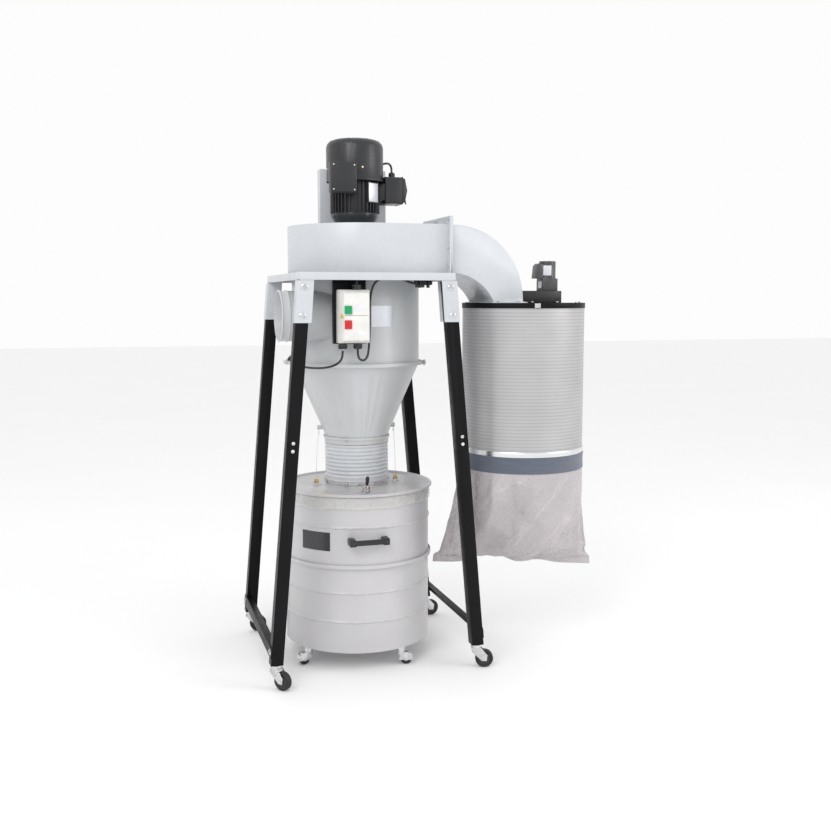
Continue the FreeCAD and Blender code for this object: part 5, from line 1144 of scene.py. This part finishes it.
# ---- casters --------------------------------------------------------------------------------
class COLLECTOR_OT_casters(bpy.types.Operator):
    """Hub caps and raceway rings of the eight casters"""
    bl_idname = "collector.casters"
    bl_label = "Caster trim"

    def execute(self, context):
        joints = {j["name"]: j for j in frame["joints"]}
        for name, joint in joints.items():
            if name.startswith("roll_") or name.startswith("drum_roll_"):
                large = name.startswith("roll_")
                self.hubs(joint, 0.0375 if large else 0.025, 0.013 if large else 0.0095)
            if name.startswith("swivel_"):
                self.raceway(joint)
        return {"FINISHED"}

    def hubs(self, joint, radius, half):
        """Grey hub disc with a ring of six dimples on each side of a wheel."""
        centre = Vector(joint["pos_m"])
        axle = Vector(joint["axis"]).normalized()
        parts = []
        for s in (-1, 1):
            face = centre + axle * s * (half - 0.0028)
            parts.append(turned("hub", [(radius * 0.60, 0.0), (radius * 0.60, 0.0006), (radius * 0.54, 0.0012),
                                        (radius * 0.46, 0.0012)], face, axle * s, 32))
            side = axle.orthogonal().normalized()
            for i in range(6):
                at = side.copy()
                at.rotate(Quaternion(axle, i * math.pi / 3.0))
                parts.append(round_head("stud", radius * 0.055, 0.0008, face + at * radius * 0.58, axle * s))
        obj = join(parts[0], parts[1:])
        obj.name = joint["child"] + "_hub"
        place(obj, joint["child"], FINISH["plate"], "tyre_black")

    def raceway(self, joint):
        """Rolled lips of the swivel's ball race."""
        x, y = joint["pos_m"][:2]
        clear_selection()
        roll = [(0.0195, 0.0), (0.0216, 0.0012), (0.0224, 0.0035), (0.0224, 0.007), (0.0216, 0.0095),
                (0.0195, 0.0105)]
        lip = open_tube(joint["child"] + "_race", roll, 48, (x, y, 0.0845))
        apply_modifier(lip, "SOLIDIFY", thickness=0.0010, offset=-1.0)
        place(smooth(lip, 60.0), joint["child"], FINISH["zinc"], "zinc")


# ---- soft goods -----------------------------------------------------------------------------
BAG_SECTIONS = ((892, 262, 262, 0), (824, 262, 262, 0), (754, 276, 240, -25), (674, 282, 205, -40),
                (574, 306, 140, -40), (484, 330, 75, -42), (416, 342, 26, -45), (388, 344, 9, -45))
BAG_TURN = math.radians(-19.0)


def bag_section(z):
    """Half width, half depth and drift of the bag at a height, eased between its sections."""
    for upper, lower in zip(BAG_SECTIONS, BAG_SECTIONS[1:]):
        if z >= lower[0]:
            t = (upper[0] - z) / (upper[0] - lower[0])
            return [u + (w - u) * t for u, w in zip(upper[1:], lower[1:])]
    return BAG_SECTIONS[-1][1:]


class COLLECTOR_OT_bag(bpy.types.Operator):
    """Dust bag of thin film, creased and hung from the strap by a cloth run"""
    bl_idname = "collector.bag"
    bl_label = "Dust bag"

    def execute(self, context):
        soft = context.scene.collector_soft
        axis = middle("filter_shell")
        rows, sides = 92, 176
        heights = [889.0 - (889.0 - 389.5) * i / rows for i in range(rows + 1)]
        clear_selection()
        bag = open_tube("film_bag", [(0.26, z * MM) for z in heights], sides)
        turns = [math.atan2(v.co.y, v.co.x) for v in bag.data.vertices]
        self.shape(bag, axis, soft.bag_creases)
        self.drape(bag, context, soft.bag_steps)
        self.close_seam(bag, turns)
        apply_modifier(bag, "SMOOTH", factor=0.4, iterations=1)
        apply_modifier(bag, "SUBSURF", levels=1, render_levels=1)
        place(smooth(bag, 80.0), "frame", FINISH["film"], "bag_film", ("dust_bag",))
        self.strap(axis)
        return {"FINISHED"}

    def shape(self, bag, axis, creases):
        """Round neck easing into the flat lower seam, with folds that fan from neck and corners."""
        for vertex in bag.data.vertices:
            z = vertex.co.z / MM
            turn = math.atan2(vertex.co.y, vertex.co.x)
            a, b, drift = bag_section(z)
            fall = min(1.0, max(0.0, (824.0 - z) / 436.0))
            fan = math.sin(9.0 * turn + 3.0 * fall) * 0.6 + math.sin(23.0 * turn + 7.0 * fall) * 0.4
            billow = noise.noise(Vector((math.cos(turn) * 2.2, math.sin(turn) * 2.2, z * 0.009)))
            face = 3.0 if math.sin(turn) < 0.0 else 8.0
            width = a * MM * math.cos(turn)
            across = width * 0.81 - z * MM * 0.58
            along = width * 0.58 + z * MM * 0.81
            long_spot = Vector((across * 5.5, along * 1.5, face))
            fine_spot = Vector((across * 13.0, along * 2.4, face + 20.0))
            long_fold = max(0.0, 1.0 - 3.2 * abs(noise.noise(long_spot)))
            fine_fold = max(0.0, 1.0 - 3.6 * abs(noise.noise(fine_spot)))
            depth = creases * math.sin(math.pi * min(1.0, fall * 1.08)) ** 0.6 if 0.0 < fall < 0.92 else 0.0
            push = depth * (fan * 0.30 + billow * 1.2 + long_fold * 1.5 + fine_fold * 0.6)
            local = Vector(((a * MM + push * 0.4) * math.cos(turn), (b * MM + push) * math.sin(turn), 0.0))
            local.rotate(Quaternion((0, 0, 1), BAG_TURN))
            lift = 0.0
            if fall > 0.55:
                reach = ((fall - 0.55) / 0.45) ** 1.5
                lift = reach * (0.046 * math.exp(-((width + 0.095) / 0.075) ** 2)
                                + 0.014 * math.exp(-((width - 0.120) / 0.060) ** 2))
            vertex.co = Vector((axis.x + drift * MM + local.x, axis.y + local.y, vertex.co.z + lift))

    def drape(self, bag, context, steps):
        """Short cloth run; the neck under the strap and the seam corners are held."""
        rest = [v.co.copy() for v in bag.data.vertices]
        group = bag.vertex_groups.new(name="held")
        lowest = min(v.co.z for v in bag.data.vertices)
        for vertex in bag.data.vertices:
            grip = 1.0 if vertex.co.z > 0.815 else 0.0
            if vertex.co.z < lowest + 0.045:
                grip = 0.25
            group.add([vertex.index], grip, "REPLACE")
        take(bag)
        cloth = bag.modifiers.new("Drape", "CLOTH")
        wear = cloth.settings
        wear.vertex_group_mass = group.name
        wear.quality = 6
        wear.mass = 0.12
        wear.tension_stiffness = 40.0
        wear.compression_stiffness = 40.0
        wear.shear_stiffness = 20.0
        wear.bending_stiffness = 0.05
        wear.use_pressure = True
        wear.uniform_pressure_force = 0.35
        wear.shrink_min = -0.035
        wear.effector_weights.gravity = 0.6
        cloth.point_cache.frame_start = 1
        cloth.point_cache.frame_end = steps
        for step in range(1, steps + 1):
            context.scene.frame_set(step)
        bpy.ops.object.modifier_apply(modifier=cloth.name)
        context.scene.frame_set(1)
        for vertex, start in zip(bag.data.vertices, rest):
            shift = vertex.co - start
            if shift.length > 0.028:
                vertex.co = start + shift.normalized() * 0.028

    def close_seam(self, bag, turns):
        """Weld the front and back of the lower mouth into one flat seam."""
        take(bag)
        bpy.ops.object.mode_set(mode="EDIT")
        bpy.ops.mesh.select_mode(type="VERT")
        bpy.ops.mesh.select_all(action="DESELECT")
        mesh = bmesh.from_edit_mesh(bag.data)
        pairs = {}
        for vertex in mesh.verts:
            if vertex.is_boundary and vertex.co.z < 0.6:
                pairs.setdefault(round(abs(turns[vertex.index]), 3), []).append(vertex)
        for pair in pairs.values():
            meet = sum((v.co for v in pair), Vector()) / len(pair)
            for vertex in pair:
                vertex.co = meet
                vertex.select_set(True)
        bmesh.update_edit_mesh(bag.data)
        bpy.ops.mesh.remove_doubles(threshold=1e-5)
        done()

    def strap(self, axis):
        """Woven band with turned hems and an over-centre buckle at the back."""
        a, b = low("bag_strap"), high("bag_strap")
        radius = (b.x - a.x) / 2.0
        steps = [(radius - 0.0022, a.z + 0.001), (radius - 0.0004, a.z + 0.0005), (radius, a.z + 0.003),
                 (radius, a.z + 0.008), (radius - 0.0009, a.z + 0.010)]
        steps += [(radius - 0.0012 + 0.0006 * math.sin(t), a.z + 0.010 + (b.z - a.z - 0.020) * t / 9.0)
                  for t in range(1, 9)]
        steps += [(radius - 0.0009, b.z - 0.010), (radius, b.z - 0.008), (radius, b.z - 0.003),
                  (radius - 0.0004, b.z - 0.0005), (radius - 0.0022, b.z - 0.001)]
        strap = open_tube("woven_strap", steps, 128, (axis.x, axis.y, 0))
        for vertex in strap.data.vertices:
            out = Vector((vertex.co.x - axis.x, vertex.co.y - axis.y, 0.0))
            vertex.co += out.normalized() * 0.0010 * noise.noise(vertex.co * 9.0)
        apply_modifier(strap, "SOLIDIFY", thickness=0.0012, offset=-1.0)
        place(smooth(strap, 60.0), "frame", FINISH["strap"], "strap_blue", ("bag_strap",))
        out = outward(75.0)
        buckle = block("buckle", (-0.0005, -0.026, -0.020), (0.0045, 0.026, 0.020), 0.001)
        pick(buckle, lambda c, n: n.x > 0.9 and c.x > 0.004)
        bpy.ops.mesh.inset(thickness=0.006)
        bpy.ops.transform.translate(value=(-0.002, 0, 0))
        done()
        buckle.rotation_euler = (0, 0, math.radians(75.0))
        buckle.location = Vector((axis.x, axis.y, (a.z + b.z) / 2.0)) + out * radius
        place(settle(buckle), "frame", FINISH["zinc"], "zinc")


class COLLECTOR_OT_liner(bpy.types.Operator):
    """Film liner that lines the drum and hangs over its rim"""
    bl_idname = "collector.liner"
    bl_label = "Drum liner"

    def execute(self, context):
        depth = context.scene.collector_soft.liner_creases
        a, b = low("drum_liner"), high("drum_liner")
        outer = (b.x - a.x) / 2.0
        inner = outer - 0.0113
        top = b.z - 0.0004
        profile = [(inner * t, a.z + 0.0008) for t in (0.02, 0.25, 0.5, 0.75, 0.94)]
        profile += [(inner - 0.002, a.z + 0.006)]
        profile += [(inner, a.z + 0.01 + (top - a.z - 0.014) * i / 28.0) for i in range(29)]
        profile += [(inner + 0.0015, top), (outer - 0.0016, top), (outer - 0.0004, top - 0.0014)]
        profile += [(outer, top - 0.004 - (top - 0.694) * i / 16.0) for i in range(1, 17)]
        liner = open_tube("film_liner", profile, 224)
        for vertex in liner.data.vertices:
            self.crease(vertex, inner, top, depth)
        take(liner)
        bpy.ops.object.mode_set(mode="EDIT")
        bpy.ops.mesh.select_mode(type="VERT")
        bpy.ops.mesh.select_all(action="DESELECT")
        mesh = bmesh.from_edit_mesh(liner.data)
        for vertex in mesh.verts:
            vertex.select_set(vertex.co.xy.length < 0.01)
        bmesh.update_edit_mesh(liner.data)
        bpy.ops.mesh.merge(type="CENTER")
        done()
        apply_modifier(liner, "SUBSURF", levels=1, render_levels=1)
        place(smooth(liner, 80.0), "drum", FINISH["liner"], "liner", ("drum_liner",))
        return {"FINISHED"}

    def crease(self, vertex, inner, top, depth):
        radius = vertex.co.xy.length
        if radius < 0.01:
            return
        turn = math.atan2(vertex.co.y, vertex.co.x)
        spot = Vector((math.cos(turn) * 3.0, math.sin(turn) * 3.0, vertex.co.z * 5.0))
        folds = abs(noise.noise(Vector((turn * 9.0, vertex.co.z * 14.0, 1.0))))
        folds += 0.6 * abs(noise.noise(spot * 4.0))
        skirt = vertex.co.z < top - 0.003 and radius > inner + 0.006
        if skirt:
            drop = (top - vertex.co.z) / (top - 0.69)
            push = depth * min(1.0, drop * 1.6) * (folds * 1.5 - 0.15)
            hem = 0.012 * drop * noise.noise(Vector((turn * 2.3, 0.0, 7.0)))
            vertex.co.z += hem
            radius += max(-0.0003, push)
        elif vertex.co.z < top - 0.003:
            radius -= depth * 1.4 * folds
        vertex.co.x = radius * math.cos(turn)
        vertex.co.y = radius * math.sin(turn)


# ---- filter, barrel and stand trim ----------------------------------------------------------
class COLLECTOR_OT_filter(bpy.types.Operator):
    """Spun ring, latch, bolts and labels of the filter and its cleaning drive"""
    bl_idname = "collector.filter"
    bl_label = "Filter trim"

    def execute(self, context):
        axis = middle("filter_shell")
        shell_r = (high("filter_shell").x - low("filter_shell").x) / 2.0 - 0.003
        steps = [(shell_r + 0.0006, 0.8925), (shell_r + 0.0034, 0.8935), (shell_r + 0.0042, 0.898),
                 (shell_r + 0.0030, 0.903), (shell_r + 0.0042, 0.908), (shell_r + 0.0034, 0.9135),
                 (shell_r + 0.0006, 0.9165)]
        ring = open_tube("spun_ring", steps, 128, (axis.x, axis.y, 0))
        apply_modifier(ring, "SOLIDIFY", thickness=0.0008, offset=-1.0)
        place(smooth(ring, 60.0), "frame", FINISH["ring"], "zinc")
        self.latch(axis, shell_r)
        self.drive()
        return {"FINISHED"}

    def latch(self, axis, shell_r):
        """Plated toggle latch on the rim of the top plate."""
        turn = math.radians(-100.0)
        out = Vector((math.cos(turn), math.sin(turn), 0.0))
        parts = [block("latch_plate", (0, -0.012, -0.009), (0.0018, 0.012, 0.009), 0.0005),
                 block("latch_lever", (0.0016, -0.008, -0.005), (0.0044, 0.008, 0.007), 0.0010)]
        latch = join(parts[0], parts[1:])
        latch.name = "rim_latch"
        latch.rotation_euler = (0, 0, turn)
        latch.location = Vector((axis.x, axis.y, 1.515)) + out * (shell_r + 0.0024)
        place(settle(latch), "frame", FINISH["zinc"], "zinc")
        seam = block("rim_seam", (0, -0.0012, -0.306), (0.0009, 0.0012, 0.276), 0.0003)
        seam.rotation_euler = (0, 0, math.radians(96.0))
        out = outward(96.0)
        seam.location = Vector((axis.x, axis.y, 1.225)) + out * (shell_r - 0.0002)
        place(settle(seam), "frame", FINISH["zinc"], "machine_grey").name = "shell_seam"

    def drive(self):
        a, b = low("gearmotor"), high("gearmotor")
        x = 0.800
        y = -0.200
        rings = [open_tube("motor_ring", [(0.0356, z), (0.0363, z + 0.0008), (0.0363, z + 0.0026),
                                          (0.0356, z + 0.0034)], 64, (x, y, 0))
                 for z in (b.z - 0.012, b.z - 0.020, b.z - 0.070)]
        for ring in rings:
            apply_modifier(ring, "SOLIDIFY", thickness=0.0008, offset=-1.0)
        place(smooth(join(rings[0], rings[1:])), "frame", FINISH["gunmetal"], "drive_grey").name = "drive_rings"
        label = block("motor_label", (-0.0003, -0.017, -0.021), (0.0006, 0.017, 0.021), 0.0002)
        label.rotation_euler = (0, 0, math.radians(-113.0))
        turn = math.radians(-113.0)
        label.location = Vector((x, y, b.z - 0.040)) + Vector((math.cos(turn), math.sin(turn), 0.0)) * 0.0353
        plate = block("head_label", mm(-35.7, -20, 12), mm(-34.8, 14, 40), 0.0002)
        plate.location = Vector((x, y, a.z))
        labels = join(settle(label), [settle(plate)])
        place(labels, "frame", FINISH["label"], "plastic_ivory").name = "drive_labels"
        screws = [round_head("screw", 0.0032, 0.002, Vector((x, y, a.z + 0.052)) + mm(dx, dy, 0), (0, 0, 1))
                  for dx in (-29, 29) for dy in (-29, 29)]
        feet = [hex_head("cover_bolt", 0.010, 0.0042, mm(fx + 7, -257, 1528), (0, 0, 1))
                for fx in COVER_FEET_X]
        place(join(screws[0], screws[1:] + feet), "frame", FINISH["zinc"], "zinc").name = "drive_screws"
        # the slots are flat matte black patches on the cover face: painted shade for the slot openings
        slots = [block("slot", mm(655, -252.6, z), mm(663, -251.6, z + 2.5), 0.0003)
                 for z in (1540, 1546, 1552, 1558)]
        place(join(slots[0], slots[1:]), "frame", FINISH["gasket"], "stand_black").name = "cover_slots"
        cover = block("drive_box", low("drive_cover") + mm(0, 10, 0), high("drive_cover"), 0.0)
        pick(cover, lambda c, n: n.z > 0.9)
        bpy.ops.mesh.inset(thickness=0.004)
        bpy.ops.transform.translate(value=(0, 0, -0.0008))
        done()
        soften(cover, 0.0018, 3)
        feet = [block("cover_foot", mm(fx, -262, 1526), mm(fx + 14, -250, 1528), 0.0006)
                for fx in COVER_FEET_X]
        place(join(cover, feet), "frame", FINISH["cover"], "stand_black", ("drive_cover",))


class COLLECTOR_OT_trim(bpy.types.Operator):
    """Washers, domed heads, barrel plate, seams and clamp wing nuts"""
    bl_idname = "collector.trim"
    bl_label = "Bolts and plates"

    def execute(self, context):
        self.leg_bolts()
        self.barrel_plate()
        self.clamp_hardware()
        self.seams()
        return {"FINISHED"}

    def leg_bolts(self):
        """Flanged heads on the brackets and domed heads on the leg joints."""
        flange = [(0.0125, -0.0004), (0.0125, 0.0010), (0.0105, 0.0024), (0.0095, 0.0026)]
        washers = []
        domes = []
        for sx in (-1, 1):
            for sy in (-1, 1):
                for z in (1477.0, 1588.0):
                    x = sx * (leg_outer(z) - 25.0)
                    washers.append(turned("flange", flange, mm(x, sy * 397.0, z), (0, sy, 0), 32))
                for z in (954.0, 985.0):
                    x = sx * (leg_outer(z) - 25.0)
                    domes.append(round_head("dome", 0.0078, 0.0055, mm(x, sy * 393.4, z), (0, sy, 0)))
        for sx in (-1, 1):
            for sy in (-1, 1):
                for step in (-12.0, 12.0):
                    z = 151.5
                    x = sx * (leg_outer(z) + 3.0)
                    washers.append(turned("washer", [(0.0105, -0.0002), (0.0105, 0.0012), (0.0098, 0.0016)],
                                          mm(x, sy * (368.5 + step), z), (sx, 0, LEG_SLOPE), 32))
        place(join(washers[0], washers[1:]), "frame", FINISH["zinc"], "zinc").name = "bolt_flanges"
        place(join(domes[0], domes[1:]), "frame", FINISH["zinc"], "zinc").name = "domed_heads"

    def barrel_plate(self):
        """Blank data plate curved to the barrel."""
        radius = 0.2703
        clear_selection()
        bpy.ops.mesh.primitive_grid_add(x_subdivisions=16, y_subdivisions=2, size=1.0)
        plate = named("data_plate")
        left, right = math.radians(270.0), math.radians(270.0 + 20.6)
        for vertex in plate.data.vertices:
            turn = left + (right - left) * (vertex.co.x + 0.5)
            height = 1.430 + 0.085 * (vertex.co.y + 0.5)
            vertex.co = Vector((radius * math.cos(turn), radius * math.sin(turn), height))
        apply_modifier(plate, "SOLIDIFY", thickness=0.0007, offset=1.0)
        place(smooth(face_out(plate)), "frame", FINISH["silver"], "machine_grey")

    def clamp_hardware(self):
        parts = []
        for angle, reach in ((163.0, 24.0), (-17.0, 12.0)):
            out = outward(angle)
            side = Vector((-out.y, out.x, 0.0))
            centre = out * (0.2863 + 0.6 * reach * MM) + Vector((0, 0, low("cyclone_barrel").z))
            parts.append(hex_head("band_bolt", 0.010, 0.005, centre + side * 0.0095, side))
            parts += wing_nut(centre - side * 0.0095, -side)
        place(join(parts[0], parts[1:]), "frame", FINISH["zinc"], "zinc").name = "band_bolts"

    def seams(self):
        """Welded back seam of the barrel, and the pipe rivet."""
        out = outward(120.0)
        bead = [round_head("weld", 0.0026, 0.0009, out * 0.2696 + Vector((0, 0, 1.29 + 0.0046 * i)), out)
                for i in range(70)]
        place(join(bead[0], bead[1:]), "frame", FINISH["cyclone"], "machine_grey").name = "barrel_seam"
        rivet = round_head("pipe_rivet", 0.0032, 0.0016, mm(-150, -268.5, 1476), (0, -1, 0))
        place(rivet, "frame", FINISH["zinc"], "zinc")


# ---- panel and registration -----------------------------------------------------------------
STEPS = (COLLECTOR_OT_stage, COLLECTOR_OT_bodywork, COLLECTOR_OT_cables, COLLECTOR_OT_motor,
         COLLECTOR_OT_switch, COLLECTOR_OT_hose, COLLECTOR_OT_lid, COLLECTOR_OT_drum, COLLECTOR_OT_casters,
         COLLECTOR_OT_filter, COLLECTOR_OT_trim, COLLECTOR_OT_bag, COLLECTOR_OT_liner)
ORDER = [step.bl_idname.split(".")[1] for step in STEPS]


class COLLECTOR_PT_panel(bpy.types.Panel):
    """Buttons for each step"""
    bl_label = "Cyclone collector"
    bl_idname = "COLLECTOR_PT_panel"
    bl_space_type = "VIEW_3D"
    bl_region_type = "UI"
    bl_category = "Collector"

    def draw(self, context):
        for step in STEPS:
            self.layout.operator(step.bl_idname)
        for name, _ in GROUPS:
            group = getattr(context.scene, name)
            box = self.layout.box()
            for key in group.__annotations__:
                box.prop(group, key)


GROUPS = (("collector_stage", CollectorStage), ("collector_colours", CollectorColours),
          ("collector_soft", CollectorSoftGoods))


def register():
    for name, group in GROUPS:
        bpy.utils.register_class(group)
        setattr(bpy.types.Scene, name, PointerProperty(type=group))
    for cls in STEPS + (COLLECTOR_PT_panel,):
        bpy.utils.register_class(cls)


def unregister():
    for cls in reversed(STEPS + (COLLECTOR_PT_panel,)):
        bpy.utils.unregister_class(cls)
    for name, group in reversed(GROUPS):
        delattr(bpy.types.Scene, name)
        bpy.utils.unregister_class(group)


def main():
    register()
    for step in ORDER:
        getattr(bpy.ops.collector, step)()
    bpy.context.view_layer.update()


if __name__ == "__main__":
    main()
